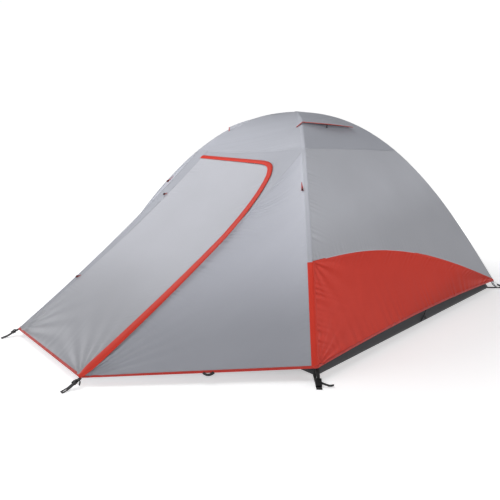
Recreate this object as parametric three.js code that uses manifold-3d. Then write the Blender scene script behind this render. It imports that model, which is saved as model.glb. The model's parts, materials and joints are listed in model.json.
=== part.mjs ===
// A double-wall dome tent for three sleepers: two shock-corded aluminium poles cross over a square inner tent,
// and a rain fly over both reaches out into a porch on the front and on the back.
// Millimetres, +Z up. The origin is the centre of the floor, on the ground. The front porch is on -Y.
import * as THREE from "three";
import { mergeVertices } from "three/addons/utils/BufferGeometryUtils.js";
import Module from "manifold-3d";

const wasm = await Module();
wasm.setup();

// ---- Driving dimensions ----
const CORNER = 1110; // centre to a pole's foot, along X and along Y
const FLY_PEAK = 1297;
const ARCH_FALL = 0.9024; // the arch: (reach / CORNER) ^ ARCH_ROUND + (height / peak) ^ ARCH_FALL = 1
const ARCH_ROUND = 2.126;
const SEAM_HEIGHT = 1034; // the roof's seam, where the porches start
const FLY_CLOTH = 2;
const SEAM_GAP = 1.2; // half the gap between two neighbouring panels

const PORCH_HALF_WIDTH = 403; // half the distance between a porch's two stake points
const PORCH_REACH = 1870; // centre to the porch's hem, along Y
const PORCH_HEM = 40;
const HEM_AT_CORNER = 57;
const HEM_RISE = 20; // the end hem's rise from the corner to its middle

const SKIRT_HIGH = 475; // the red end skirt falls in a curve from one corner to the next
const SKIRT_FALL = 409;
const SKIRT_POWER = 2.6;

const INNER_CORNER = 1050;
const INNER_PEAK = 1222;
const FLOOR_HALF = 1052;
const TUB_HEIGHT = 150;
const WALL_TOP = 900;
const INNER_CLOTH = 1.5;
const INNER_DOOR = { halfWidth: 380, bottom: 200, top: 870, gap: 5 };

const POLE = { outer: 4.75, inner: 3.9, segments: 8, joint: 0.6, corner: 1098, peak: 1283, drop: 11 };
const POLE_FOOT = 9; // height of the pole's open end over the ground
const TIP = { radius: 2.6, height: 7 };
const SHOCK_CORD_RADIUS = 1.25;

const DOOR_CLOTH = 2;
const HINGE_SEAM = 388; // the door's hinge seam runs straight down the slope at this X
const ZIP_GAP = 8; // half the width of the slot that holds the zip
const FLAP = { width: 38, stand: 7, thick: 1.5 };

const COLOURS = {
  cloth: { color: 0xa9abb2, roughness: 0.55, metalness: 0 },
  red: { color: 0xb23a30, roughness: 0.55, metalness: 0 },
  floor: { color: 0x4b4c4f, roughness: 0.7, metalness: 0 },
  inner: { color: 0xc9cbd0, roughness: 0.7, metalness: 0 },
  mesh: { color: 0x77797d, roughness: 0.8, metalness: 0 },
  pole: { color: 0xb9bcc2, roughness: 0.3, metalness: 0.9 },
  webbing: { color: 0x17171a, roughness: 0.8, metalness: 0 },
  plastic: { color: 0x1c1c1f, roughness: 0.45, metalness: 0 },
  cord: { color: 0xdadad6, roughness: 0.8, metalness: 0 },
};
const materials = Object.fromEntries(
  Object.entries(COLOURS).map(([name, look]) => [name, new THREE.MeshStandardMaterial(look)]),
);

// ---- Small tools ----
const vec = (x, y, z) => new THREE.Vector3(x, y, z);
const mix = (a, b, t) => a + (b - a) * t;
const steps = (n) => Array.from({ length: n + 1 }, (_, i) => i / n);

function named(name, geometry, look) {
  const mesh = new THREE.Mesh(geometry, materials[look]);
  mesh.name = name;
  return mesh;
}

function solidOf(geometry, matrix = new THREE.Matrix4()) {
  const bare = geometry.clone().applyMatrix4(matrix);
  bare.deleteAttribute("normal");
  bare.deleteAttribute("uv");
  const merged = mergeVertices(bare, 1e-3);
  return new wasm.Manifold(
    new wasm.Mesh({
      numProp: 3,
      vertProperties: merged.attributes.position.array,
      triVerts: new Uint32Array(merged.index.array),
    }),
  );
}

function geometryOf(solid) {
  const made = solid.getMesh();
  return new THREE.BufferGeometry()
    .setAttribute("position", new THREE.BufferAttribute(made.vertProperties, 3))
    .setIndex(new THREE.BufferAttribute(made.triVerts, 1));
}

const boxAt = (w, d, h, x, y, z) => new THREE.BoxGeometry(w, d, h).translate(x, y, z);

// A cloth panel from a grid of points on its outer face. Rows climb, and columns run counter-clockwise
// seen from above, so that the outer face points out. The inner face is drawn towards the origin by
// the cloth's thickness: neighbours share that direction, so they never run into each other.
function panel(rows, thick, closed = false) {
  const columns = rows[0].length;
  const towards = (p) => p.clone().multiplyScalar(1 - thick / p.length());
  const outer = rows.flat();
  const points = [...outer, ...outer.map(towards)];
  const faces = [];
  const quad = (a, b, c, d) => faces.push(a, b, c, a, c, d);
  const at = (r, c) => r * columns + (c % columns);
  const lastColumn = closed ? columns : columns - 1;
  for (let r = 0; r < rows.length - 1; r++)
    for (let c = 0; c < lastColumn; c++) {
      const [a, b, c2, d] = [at(r, c), at(r, c + 1), at(r + 1, c + 1), at(r + 1, c)];
      quad(a, b, c2, d);
      quad(...[a, d, c2, b].map((i) => i + outer.length));
    }
  const edge = (i, j) => quad(j, i, i + outer.length, j + outer.length);
  const top = rows.length - 1;
  for (let c = 0; c < lastColumn; c++) {
    edge(at(0, c), at(0, c + 1));
    edge(at(top, c + 1), at(top, c));
  }
  if (!closed)
    for (let r = 0; r < top; r++) {
      edge(at(r + 1, 0), at(r, 0));
      edge(at(r, columns - 1), at(r + 1, columns - 1));
    }
  return new THREE.BufferGeometry()
    .setAttribute("position", new THREE.Float32BufferAttribute(points.flatMap((p) => p.toArray()), 3))
    .setIndex(faces);
}

// ---- The arch that every leg follows ----
const arch = (z, peak) => (1 - Math.min(1, z / peak) ** ARCH_FALL) ** (1 / ARCH_ROUND);
const flyReach = (z) => CORNER * arch(z, FLY_PEAK);
const innerReach = (z) => INNER_CORNER * arch(z, INNER_PEAK);

// The four sides of a square dome between two heights, as one closed band of cloth.
function band(reach, bottom, top, thick, rows, across) {
  const turn = [[1, -1], [1, 1], [-1, 1], [-1, -1]];
  const ring = (z) =>
    turn.flatMap(([x, y], i) => {
      const [nx, ny] = turn[(i + 1) % turn.length];
      return steps(across).slice(0, -1).map((t) => vec(reach(z) * mix(x, nx, t), reach(z) * mix(y, ny, t), z));
    });
  return panel(steps(rows).map((t) => ring(mix(bottom, top, 1 - (1 - t) ** 1.6))), thick, true);
}

// ---- Rain fly: roof, and the two ends ----
const VENT = { halfWidth: 140, bottom: 1184, top: 1220 }; // the window in the roof, under the hood

function flyRoof() {
  const summit = FLY_PEAK - 3;
  const roof = solidOf(band(flyReach, SEAM_HEIGHT + SEAM_GAP, summit, FLY_CLOTH, 6, 4));
  const capWidth = 2 * flyReach(summit) + 4;
  const cap = solidOf(boxAt(capWidth, capWidth, 3, 0, 0, summit));
  const height = VENT.top - VENT.bottom;
  const windows = [1, -1].map((side) =>
    solidOf(boxAt(200, 2 * VENT.halfWidth, height, side * flyReach(VENT.bottom), 0, VENT.bottom + height / 2)),
  );
  return geometryOf(roof.add(cap).subtract(windows[0]).subtract(windows[1]));
}

const skirtTop = (s) => SKIRT_HIGH - SKIRT_FALL * ((s + 1) / 2) ** SKIRT_POWER;
const endHem = (s) => HEM_AT_CORNER + HEM_RISE * (1 - s * s);

// Cloth on the +X end between two curves that give the height across it, from s = -1 to s = 1.
function endCloth(reach, low, high, thick, rows, across) {
  const s = (t) => mix(-1, 1, t);
  return panel(
    steps(rows).map((t) =>
      steps(across).map((c) => {
        const z = mix(low(s(c)) + SEAM_GAP, high(s(c)) - SEAM_GAP, t);
        return vec(reach(z), s(c) * (reach(z) - SEAM_GAP), z);
      }),
    ),
    thick,
  );
}

// ---- The vent hood, its hinge at the top edge, and the prop that holds its lip up ----
// The lip starts round the front leg and ends short of the back one; its middle stands proudest.
const HOOD = {
  hinge: 1240,
  lift: 5,
  thick: 2,
  front: { reach: 346, across: -345, height: 1194 },
  back: { reach: 362, across: 180, height: 1184 },
  bulge: 20,
};
const PROP = { width: 14, thick: 3, across: -120, foot: 1166, gap: 2.2 };
const HINGE_REACH = flyReach(HOOD.hinge) + HOOD.lift;

function hoodLip(c) {
  const { front, back, bulge } = HOOD;
  const reach = mix(front.reach, back.reach, c) + bulge * 4 * c * (1 - c);
  return vec(reach, mix(front.across, back.across, c), mix(front.height, back.height, c));
}

// way is 1 on the right end and -1 on the left, whose group is turned half round.
function ventHood(way) {
  const hingeHalf = flyReach(HOOD.hinge) - 6;
  const rows = steps(2).map((t) =>
    steps(6).map((c) => {
      const top = vec(HINGE_REACH, mix(-hingeHalf, hingeHalf / 2, c), HOOD.hinge + HOOD.lift);
      const point = hoodLip(c).lerp(top, t);
      point.y *= way;
      return point;
    }),
  );
  return panel(way > 0 ? rows : rows.map((row) => row.reverse()), HOOD.thick);
}

function ventProp(way) {
  const x = flyReach(PROP.foot) + PROP.thick / 2 + 0.8;
  const lip = hoodLip((PROP.across - HOOD.front.across) / (HOOD.back.across - HOOD.front.across));
  const slope = (HOOD.hinge + HOOD.lift - lip.z) / (lip.x - HINGE_REACH);
  const underside = lip.z + (lip.x - x - PROP.thick) * slope - HOOD.thick;
  const height = underside - PROP.gap - PROP.foot;
  return boxAt(PROP.thick, PROP.width, height, x, way * PROP.across, PROP.foot + height / 2);
}

// ---- Porch: a flat sloping front with a door in it, and a gusset back to each leg ----
const SEAM_REACH = flyReach(SEAM_HEIGHT);
const SLOPE = vec(0, SEAM_REACH - PORCH_REACH, PORCH_HEM - SEAM_HEIGHT); // from the roof seam down to the hem
const SLOPE_LENGTH = SLOPE.length();
const ridgeX = (v) => mix(SEAM_REACH, PORCH_HALF_WIDTH, v / SLOPE_LENGTH); // v is measured down the slope
const ridgeAt = (z, side) => {
  const t = (SEAM_HEIGHT - z) / (SEAM_HEIGHT - PORCH_HEM);
  return vec(side * mix(SEAM_REACH, PORCH_HALF_WIDTH, t), -mix(SEAM_REACH, PORCH_REACH, t), z);
};

// Flat shapes of the front are drawn in (x, -v) and then laid on the slope, "out" from its face.
function onSlope(shape, out, thick) {
  const down = SLOPE.clone().normalize();
  const outwards = vec(1, 0, 0).cross(down.clone().negate());
  const frame = new THREE.Matrix4().makeBasis(vec(1, 0, 0), down.negate(), outwards);
  frame.setPosition(vec(0, -SEAM_REACH, SEAM_HEIGHT).addScaledVector(outwards, out - thick));
  return new THREE.ExtrudeGeometry(shape, { depth: thick, bevelEnabled: false, curveSegments: 8 }).applyMatrix4(frame);
}

// The zip's line: up the right-hand ridge, round the corner in one curve, and across under the roof seam.
const ZIP = { leave: 750, rise: 250, crown: 128, topLeft: 80 };
function zipLine(offset) {
  const run = new THREE.CurvePath();
  const foot = vec(ridgeX(SLOPE_LENGTH) + offset - 4, -SLOPE_LENGTH + 6, 0);
  const leave = vec(ridgeX(ZIP.leave) + offset, -ZIP.leave, 0);
  const corner = vec(ridgeX(ZIP.leave) - 62 + offset, -ZIP.rise, 0);
  const crown = vec(215, -ZIP.crown + offset, 0);
  const end = vec(-HINGE_SEAM + 6, -ZIP.topLeft + offset, 0);
  run.add(new THREE.LineCurve3(foot, leave));
  run.add(new THREE.CubicBezierCurve3(leave, vec(leave.x - 2, -560, 0), vec(corner.x + 46, -390, 0), corner));
  run.add(new THREE.CubicBezierCurve3(corner, vec(corner.x - 40, -160, 0), vec(330, crown.y - 10, 0), crown));
  run.add(new THREE.LineCurve3(crown, end));
  return run;
}
const zipPoints = (offset) =>
  zipLine(offset)
    .curves.flatMap((curve) => curve.getPoints(curve.isLineCurve3 ? 1 : 5))
    .filter((p, i, all) => !i || p.distanceTo(all[i - 1]) > 1)
    .map((p) => new THREE.Vector2(p.x, p.y));

function doorPanel() {
  const hem = -SLOPE_LENGTH + 6;
  const hinge = [new THREE.Vector2(-HINGE_SEAM + 6, hem)];
  return onSlope(new THREE.Shape([...zipPoints(-ZIP_GAP), ...hinge]), 0, DOOR_CLOTH);
}

// The still part of the front: a strip over the door, and a strip beside its hinge.
function doorSurround() {
  const hem = -SLOPE_LENGTH + 6;
  const beside = zipPoints(ZIP_GAP).filter((p) => p.x < ridgeX(-p.y) - 8);
  const edge = [
    [-ridgeX(SLOPE_LENGTH) + 3, hem],
    [-ridgeX(0) + 3, -SEAM_GAP],
    [ridgeX(0) - 3, -SEAM_GAP],
    [ridgeX(-beside[0].y) - 3, beside[0].y],
  ].map(([x, y]) => new THREE.Vector2(x, y));
  beside[beside.length - 1].x = -HINGE_SEAM - 1;
  const hinge = [new THREE.Vector2(-HINGE_SEAM - 1, hem)];
  return onSlope(new THREE.Shape([...edge, ...beside, ...hinge].reverse()), 0, DOOR_CLOTH);
}

function stormFlap() {
  const out = zipPoints(FLAP.width / 2);
  const back = zipPoints(-FLAP.width / 2).reverse();
  return onSlope(new THREE.Shape([...out, ...back]), FLAP.stand + FLAP.thick, FLAP.thick);
}

// The gusset from a ridge back to the leg beside it. side is +1 on the right.
function gusset(side) {
  const bottom = (c) => mix(PORCH_HEM, HEM_AT_CORNER, c) + SEAM_GAP;
  const top = SEAM_HEIGHT - 26;
  const inset = side > 0 ? ZIP_GAP : 3;
  const rows = steps(8).map((t) =>
    steps(3).map((c) => {
      const z = mix(bottom(c), top, t);
      const leg = vec(side * flyReach(z), -flyReach(z), z);
      const ridge = ridgeAt(z, side);
      const share = mix(inset / ridge.distanceTo(leg), 1 - 3 / ridge.distanceTo(leg), c);
      return ridge.lerp(leg, share);
    }),
  );
  return panel(side > 0 ? rows : rows.map((row) => row.reverse()), FLY_CLOTH);
}

// The zip's slider, made lying on the slope with its pull hanging down the slope.
function zipSlider() {
  const body = solidOf(boxAt(9, 22, 5, 0, 0, 0));
  const neck = solidOf(boxAt(5, 6, 3, 0, -11, 1));
  const pull = solidOf(boxAt(7, 26, 2, 0, -26, 1));
  const down = SLOPE.clone().normalize();
  const outwards = vec(1, 0, 0).cross(down.clone().negate());
  const lean = vec(ridgeX(0) - ridgeX(SLOPE_LENGTH), SLOPE_LENGTH, 0).normalize();
  const along = vec(lean.x, 0, 0).addScaledVector(down, -lean.y);
  const frame = new THREE.Matrix4().makeBasis(along.clone().cross(outwards), along, outwards);
  const start = ridgeAt(PORCH_HEM + 85, 1);
  frame.setPosition(start.addScaledVector(outwards, 1.4).add(vec(-1.2, 0, 0)));
  return geometryOf(body.add(neck).add(pull)).applyMatrix4(frame);
}

// ---- Stake strap at a porch corner: webbing that ends in a loop on the ground ----
const STRAP = { width: 22, thick: 3, length: 76, loop: 16 };

function stakeStrap() {
  const lying = STRAP.length - 40;
  const side = [
    [0, PORCH_HEM - 8 - STRAP.thick * 1.5],
    [lying, 0],
    [STRAP.length, 0],
    [STRAP.length, STRAP.thick],
    [lying, STRAP.thick],
    [0, PORCH_HEM - 8],
  ].map(([along, up]) => new THREE.Vector2(along, up));
  const web = new THREE.ExtrudeGeometry(new THREE.Shape(side), { depth: STRAP.width, bevelEnabled: false });
  const turned = new THREE.Matrix4().makeBasis(vec(0, -1, 0), vec(0, 0, 1), vec(-1, 0, 0));
  turned.setPosition(vec(STRAP.width / 2, 0, 0));
  const hole = solidOf(boxAt(STRAP.width - 7, STRAP.loop, 20, 0, -STRAP.length + STRAP.loop / 2 + 5, 0));
  return geometryOf(solidOf(web, turned).subtract(hole));
}

function porch(name) {
  const group = new THREE.Group();
  group.add(
    named(`${name}_door_panel`, doorPanel(), "cloth"),
    named(`${name}_door_surround`, doorSurround(), "cloth"),
    named(`${name}_door_storm_flap`, stormFlap(), "red"),
    named(`${name}_gusset_right`, gusset(1), "cloth"),
    named(`${name}_gusset_left`, gusset(-1), "cloth"),
    named(`${name}_zip_slider`, zipSlider(), "plastic"),
  );
  for (const [end, side] of [["right", 1], ["left", -1]]) {
    const strap = named(`${name}_stake_strap_${end}`, stakeStrap(), "webbing");
    strap.position.set(side * PORCH_HALF_WIDTH, -PORCH_REACH - 6, 0);
    group.add(strap);
  }
  return group;
}

function end(name, way) {
  const group = new THREE.Group();
  group.add(
    named(`${name}_end_panel`, endCloth(flyReach, skirtTop, () => SEAM_HEIGHT, FLY_CLOTH, 6, 8), "cloth"),
    named(`${name}_end_skirt`, endCloth(flyReach, endHem, skirtTop, FLY_CLOTH, 3, 8), "red"),
    named(`${name}_vent_hood`, ventHood(way), "cloth"),
    named(`${name}_vent_prop`, ventProp(way), "plastic"),
  );
  return group;
}

// ---- Inner tent ----
function floorTub() {
  const rim = innerReach(TUB_HEIGHT);
  const frustum = (low, high, bottom, top) => {
    const shape = new THREE.CylinderGeometry(high * Math.SQRT2, low * Math.SQRT2, top - bottom, 4, 1);
    return solidOf(shape.rotateX(Math.PI / 2).rotateZ(Math.PI / 4).translate(0, 0, (top + bottom) / 2));
  };
  const lean = (FLOOR_HALF - rim) / TUB_HEIGHT;
  const thick = 2.5;
  const outer = frustum(FLOOR_HALF, rim, 0, TUB_HEIGHT);
  const hollow = frustum(FLOOR_HALF - thick * (1 + lean), rim - thick * (1 + lean) - 10 * lean, thick, TUB_HEIGHT + 10);
  return geometryOf(outer.subtract(hollow));
}

function innerWall(withDoor) {
  const cloth = endCloth(innerReach, () => TUB_HEIGHT, () => WALL_TOP, INNER_CLOTH, 6, 6);
  if (!withDoor) return cloth;
  const { halfWidth, bottom, top, gap } = INNER_DOOR;
  const opening = boxAt(900, 2 * (halfWidth + gap), top - bottom + 2 * gap, 750, 0, (top + bottom) / 2);
  return geometryOf(solidOf(cloth).subtract(solidOf(opening)));
}

function innerDoor() {
  const { halfWidth, bottom, top } = INNER_DOOR;
  const rows = steps(6).map((t) =>
    steps(3).map((c) => {
      const z = mix(bottom, top, t);
      return vec(innerReach(z), mix(-halfWidth, halfWidth, c), z);
    }),
  );
  return panel(rows, INNER_CLOTH);
}

function innerRoof() {
  const summit = INNER_PEAK - 3;
  const net = solidOf(band(innerReach, WALL_TOP + SEAM_GAP, summit, INNER_CLOTH, 6, 3));
  const width = 2 * innerReach(summit) + 4;
  return geometryOf(net.add(solidOf(boxAt(width, width, 2, 0, 0, summit))));
}

function innerTent() {
  const group = new THREE.Group();
  group.add(named("floor_tub", floorTub(), "floor"), named("inner_roof_net", innerRoof(), "mesh"));
  const sides = [["right", 0, false], ["back", 1, true], ["left", 2, false], ["front", 3, true]];
  for (const [name, quarter, withDoor] of sides) {
    const side = new THREE.Group();
    side.rotation.z = (quarter * Math.PI) / 2;
    side.add(named(`inner_wall_${name}`, innerWall(withDoor), "inner"));
    if (withDoor) side.add(named(`inner_door_${name}`, innerDoor(), "mesh"));
    group.add(side);
  }
  return group;
}

// ---- Poles: two arches of hollow segments on a shock cord ----
function ring(outer, inner) {
  const circle = (radius) =>
    steps(8).slice(0, -1).map((t) => {
      const angle = t * 2 * Math.PI;
      return new THREE.Vector2(radius * Math.cos(angle), radius * Math.sin(angle));
    });
  const shape = new THREE.Shape(circle(outer));
  if (inner) shape.holes.push(new THREE.Path(circle(inner).reverse()));
  return shape;
}

// The arch from foot to foot in the plane of X = Y, as evenly spaced points.
function archPoints(peak, count) {
  const half = steps(60).map((t) => {
    const z = mix(POLE_FOOT, peak, 1 - (1 - t) ** 2);
    const reach = POLE.corner * arch(z, peak);
    return vec(reach, -reach, z);
  });
  const rest = half.slice(0, -1).reverse().map((p) => vec(-p.x, -p.y, p.z));
  return new THREE.CatmullRomCurve3([...half, ...rest]).getSpacedPoints(count);
}

function along(points, section) {
  const path = new THREE.CatmullRomCurve3(points);
  return new THREE.ExtrudeGeometry(section, { steps: points.length - 1, bevelEnabled: false, extrudePath: path });
}

function pole(name, peak) {
  const group = new THREE.Group();
  const perSegment = 4;
  const points = archPoints(peak, POLE.segments * perSegment);
  for (let i = 0; i < POLE.segments; i++) {
    const run = points.slice(i * perSegment, (i + 1) * perSegment + 1).map((p) => p.clone());
    const last = run.length - 1;
    if (i > 0) run[0].lerp(run[1], POLE.joint / 2 / run[0].distanceTo(run[1]));
    if (i < POLE.segments - 1) run[last].lerp(run[last - 1], POLE.joint / 2 / run[last].distanceTo(run[last - 1]));
    let tube = solidOf(along(run, ring(POLE.outer, POLE.inner)));
    if (i === 0 || i === POLE.segments - 1) {
      const foot = i === 0 ? run[0] : run[last];
      const tip = new THREE.CylinderGeometry(POLE.outer - 0.4, TIP.radius, TIP.height, 8).rotateX(Math.PI / 2);
      tube = tube.add(solidOf(tip.translate(foot.x, foot.y, POLE_FOOT - TIP.height / 2 + 1.5)));
    }
    group.add(named(`${name}_segment_${i + 1}`, geometryOf(tube), "pole"));
  }
  const inside = points.slice(1, -1);
  group.add(named(`${name}_shock_cord`, along(inside, ring(SHOCK_CORD_RADIUS)), "cord"));
  return group;
}

// The hook where the poles cross: a block with a groove for each pole.
function crossingHook() {
  const middle = POLE.peak - POLE.drop / 2;
  let block = solidOf(new THREE.CylinderGeometry(17, 17, POLE.drop + 16, 16).rotateX(Math.PI / 2).translate(0, 0, middle - 5));
  for (const [height, turn] of [[POLE.peak, -1], [POLE.peak - POLE.drop, 1]]) {
    const groove = boxAt(60, 2 * POLE.outer + 1.2, 80, 0, 0, height - POLE.outer - 1 + 40);
    block = block.subtract(solidOf(groove.rotateZ((turn * Math.PI) / 4)));
  }
  return geometryOf(block);
}

// ---- Corner: the anchor webbing with its eyelet and buckle socket, and the fly's buckle plug ----
// Built on the +X axis, with the corner's diagonal along X, and turned into place.
const DIAGONAL = POLE.corner * Math.SQRT2;
const ANCHOR = { width: 26, thick: 3, start: FLOOR_HALF * Math.SQRT2 - 12, end: DIAGONAL + 62 };
const BUCKLE = { lean: 0.56, width: 28, height: 10, socket: 24, wall: 2.4 };

function buckleFrame() {
  const group = new THREE.Group();
  group.position.set(DIAGONAL + 42, 0, ANCHOR.thick + 3);
  group.rotation.y = BUCKLE.lean;
  return group;
}

function cornerAnchor() {
  const { width, thick, start, end: outer } = ANCHOR;
  const strap = boxAt(outer - start, width, thick, (outer + start) / 2, 0, thick / 2 + 0.3);
  const eyelet = new THREE.CylinderGeometry(POLE.outer + 0.6, POLE.outer + 0.6, 30, 12).rotateX(Math.PI / 2);
  const loop = boxAt(14, width - 8, 20, outer - 12, 0, 0);
  const web = solidOf(strap)
    .subtract(solidOf(eyelet.translate(DIAGONAL, 0, 0)))
    .subtract(solidOf(loop))
    .subtract(solidOf(boxAt(2 * FLOOR_HALF + 0.6, 2 * FLOOR_HALF + 0.6, 40, 0, 0, 0).rotateZ(Math.PI / 4)));
  const frame = buckleFrame();
  frame.updateMatrix();
  const shell = solidOf(boxAt(BUCKLE.socket, BUCKLE.width, BUCKLE.height, -BUCKLE.socket / 2, 0, 0), frame.matrix);
  const mouth = boxAt(BUCKLE.socket, BUCKLE.width - 2 * BUCKLE.wall, BUCKLE.height - 2 * BUCKLE.wall, 0, 0, 0);
  const cut = solidOf(mouth.translate(-BUCKLE.socket / 2 - BUCKLE.wall * 1.5, 0, 0), frame.matrix);
  return geometryOf(web.add(shell).subtract(cut));
}

function bucklePlug() {
  const gap = 0.5;
  const depth = BUCKLE.height - 2 * BUCKLE.wall - 2 * gap;
  const prongs = [-1, 1].map((side) =>
    solidOf(boxAt(20, 4.5, depth, -BUCKLE.socket + 6, side * (BUCKLE.width / 2 - BUCKLE.wall - 4), 0)),
  );
  const head = solidOf(boxAt(12, BUCKLE.width, BUCKLE.height - 2, -BUCKLE.socket - 7, 0, 0));
  const slot = solidOf(boxAt(4, BUCKLE.width - 8, 20, -BUCKLE.socket - 8, 0, 0));
  return geometryOf(prongs[0].add(prongs[1]).add(head).subtract(slot));
}

function corners() {
  const group = new THREE.Group();
  const names = ["front_right", "back_right", "back_left", "front_left"];
  names.forEach((name, i) => {
    const corner = new THREE.Group();
    corner.rotation.z = -Math.PI / 4 + (i * Math.PI) / 2;
    const buckle = buckleFrame();
    buckle.add(named(`buckle_plug_${name}`, bucklePlug(), "plastic"));
    corner.add(named(`corner_anchor_${name}`, cornerAnchor(), "webbing"), buckle);
    group.add(corner);
  });
  return group;
}

// ---- The whole tent ----
const tent = new THREE.Group();
const back = porch("back");
back.rotation.z = Math.PI;
const left = end("left", -1);
left.rotation.z = Math.PI;
const poleB = pole("pole_b", POLE.peak - POLE.drop);
poleB.rotation.z = Math.PI / 2;
tent.add(named("fly_roof", flyRoof(), "cloth"), porch("front"), back, end("right", 1), left);
tent.add(innerTent(), pole("pole_a", POLE.peak), poleB, named("crossing_hook", crossingHook(), "plastic"), corners());

export default tent;
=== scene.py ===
"""A double-wall dome tent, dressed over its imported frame. Metres, +Z up, front porch on -Y.

Every cloth is a grid of points worked out from one of two shapes: the square dome, whose legs follow one
arch, and the flat slope of a porch. The border of each cloth is the border of its neighbour."""

import json
import math

import bpy
import numpy as np
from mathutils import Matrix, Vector

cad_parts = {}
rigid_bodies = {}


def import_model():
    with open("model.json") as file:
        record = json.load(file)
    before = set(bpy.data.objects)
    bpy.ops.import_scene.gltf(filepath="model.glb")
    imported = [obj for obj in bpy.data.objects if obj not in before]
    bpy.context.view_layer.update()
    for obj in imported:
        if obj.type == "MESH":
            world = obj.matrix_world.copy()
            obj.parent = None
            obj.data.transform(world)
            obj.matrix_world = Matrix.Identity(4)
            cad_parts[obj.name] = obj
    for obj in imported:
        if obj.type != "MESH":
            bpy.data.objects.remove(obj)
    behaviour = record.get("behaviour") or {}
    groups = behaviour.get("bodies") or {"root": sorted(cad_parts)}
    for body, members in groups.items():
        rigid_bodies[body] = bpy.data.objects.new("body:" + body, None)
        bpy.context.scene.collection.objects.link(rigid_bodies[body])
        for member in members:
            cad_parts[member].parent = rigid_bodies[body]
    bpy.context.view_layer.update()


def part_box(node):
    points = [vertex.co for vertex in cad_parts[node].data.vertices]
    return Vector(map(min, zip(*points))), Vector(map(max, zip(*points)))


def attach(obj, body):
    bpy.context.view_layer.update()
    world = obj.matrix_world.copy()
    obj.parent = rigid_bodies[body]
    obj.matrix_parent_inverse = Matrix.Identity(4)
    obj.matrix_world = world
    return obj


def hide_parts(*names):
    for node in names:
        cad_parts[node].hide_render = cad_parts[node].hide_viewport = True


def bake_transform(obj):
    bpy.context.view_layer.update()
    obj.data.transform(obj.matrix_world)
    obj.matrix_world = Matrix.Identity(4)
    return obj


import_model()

# ---- Sizes, from the frame and from the arch that the legs follow ----
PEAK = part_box("fly_roof")[1].z + 0.0015
CORNER = 1.110
ARCH_FALL = 0.9024
ARCH_ROUND = 2.126
SEAM_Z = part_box("fly_roof")[0].z - 0.0012
HEM_Z = 0.040
CORNER_HEM_Z = 0.057
HEM_RISE = 0.020
PORCH_HALF = 0.403
PORCH_REACH = 1.870
SKIRT_HIGH = 0.475
SKIRT_FALL = 0.409
SKIRT_POWER = 2.6
SLOPE_SAG = 0.030
ROOF_SEAM_DROP = 0.028
END_SAG = 0.020
GUSSET_SAG = 0.028
CLOTH = 0.0009
INNER_CORNER = 1.050
INNER_PEAK = 1.222
FLOOR_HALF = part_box("floor_tub")[1].x
TUB_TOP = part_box("floor_tub")[1].z
TAU = 2 * math.pi


# ---- Camera, lights and floor ----
def make_camera():
    """A camera at the front right, level with the tent's shoulder, looking slightly down."""
    data = bpy.data.cameras.new("camera")
    data.sensor_width = 36.0
    data.lens = 33.13
    camera = bpy.data.objects.new("camera", data)
    bpy.context.scene.collection.objects.link(camera)
    turn, tilt = math.radians(46.33), math.radians(11.36)
    back = Vector((math.sin(turn) * math.cos(tilt), -math.cos(turn) * math.cos(tilt), math.sin(tilt)))
    camera.location = (2.2506, -2.6124, 0.9773)
    camera.rotation_mode = "QUATERNION"
    camera.rotation_quaternion = (-back).to_track_quat("-Z", "Y")
    bpy.context.scene.camera = camera


def make_light(name, place, aim, size, power):
    """A square soft light, size metres across, that looks from its place towards aim."""
    data = bpy.data.lights.new(name, "AREA")
    data.shape = "SQUARE"
    data.size = size
    data.energy = power
    light = bpy.data.objects.new(name, data)
    light.location = place
    light.rotation_mode = "QUATERNION"
    light.rotation_quaternion = (Vector(aim) - Vector(place)).to_track_quat("-Z", "Y")
    bpy.context.scene.collection.objects.link(light)


def make_world():
    """A white room: bright where the camera sees it, softer where it lights the tent."""
    world = bpy.data.worlds.new("room")
    bpy.context.scene.world = world
    world.use_nodes = True
    nodes, links = world.node_tree.nodes, world.node_tree.links
    nodes.clear()
    path = nodes.new("ShaderNodeLightPath")
    path.label = "what looks at the room"
    path.location = (-600, 200)
    seen = nodes.new("ShaderNodeBackground")
    seen.label = "white as seen"
    seen.location = (-300, 0)
    seen.inputs["Color"].default_value = (1.0, 1.0, 1.0, 1.0)
    seen.inputs["Strength"].default_value = 1.02
    lit = nodes.new("ShaderNodeBackground")
    lit.label = "soft fill light"
    lit.location = (-300, 200)
    lit.inputs["Color"].default_value = (0.93, 0.95, 1.0, 1.0)
    lit.inputs["Strength"].default_value = 0.09
    pick = nodes.new("ShaderNodeMixShader")
    pick.label = "camera or light"
    pick.location = (0, 100)
    out = nodes.new("ShaderNodeOutputWorld")
    out.location = (200, 100)
    links.new(path.outputs["Is Camera Ray"], pick.inputs["Fac"])
    links.new(lit.outputs["Background"], pick.inputs[1])
    links.new(seen.outputs["Background"], pick.inputs[2])
    links.new(pick.outputs["Shader"], out.inputs["Surface"])


# ---- Numbers in arrays ----
def mix(a, b, t):
    """a where t is 0, b where it is 1, and even steps between."""
    return a + (b - a) * t


def xyz(x, y, z):
    """Three arrays or numbers of any matching shapes, stacked as points."""
    return np.stack(np.broadcast_arrays(np.asarray(x, float), y, z), axis=-1)


def unit(v):
    """The vectors brought to length 1."""
    return v / np.maximum(np.linalg.norm(v, axis=-1, keepdims=True), 1e-12)


def turned(points, quarters):
    """Points turned about +Z by a number of quarter turns."""
    x, y, z = points[..., 0], points[..., 1], points[..., 2]
    return [xyz(x, y, z), xyz(-y, x, z), xyz(-x, -y, z), xyz(y, -x, z)][quarters % 4]


def mirrored(points):
    """Points with left and right changed over."""
    return points * np.array([-1.0, 1.0, 1.0])


def travel(points, axis):
    """Distance walked along one direction of a grid, from its first row or column."""
    step = np.linalg.norm(np.diff(points, axis=axis), axis=-1)
    start = np.zeros_like(np.take(step, [0], axis=axis))
    return np.concatenate([start, np.cumsum(step, axis=axis)], axis=axis)


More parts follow.
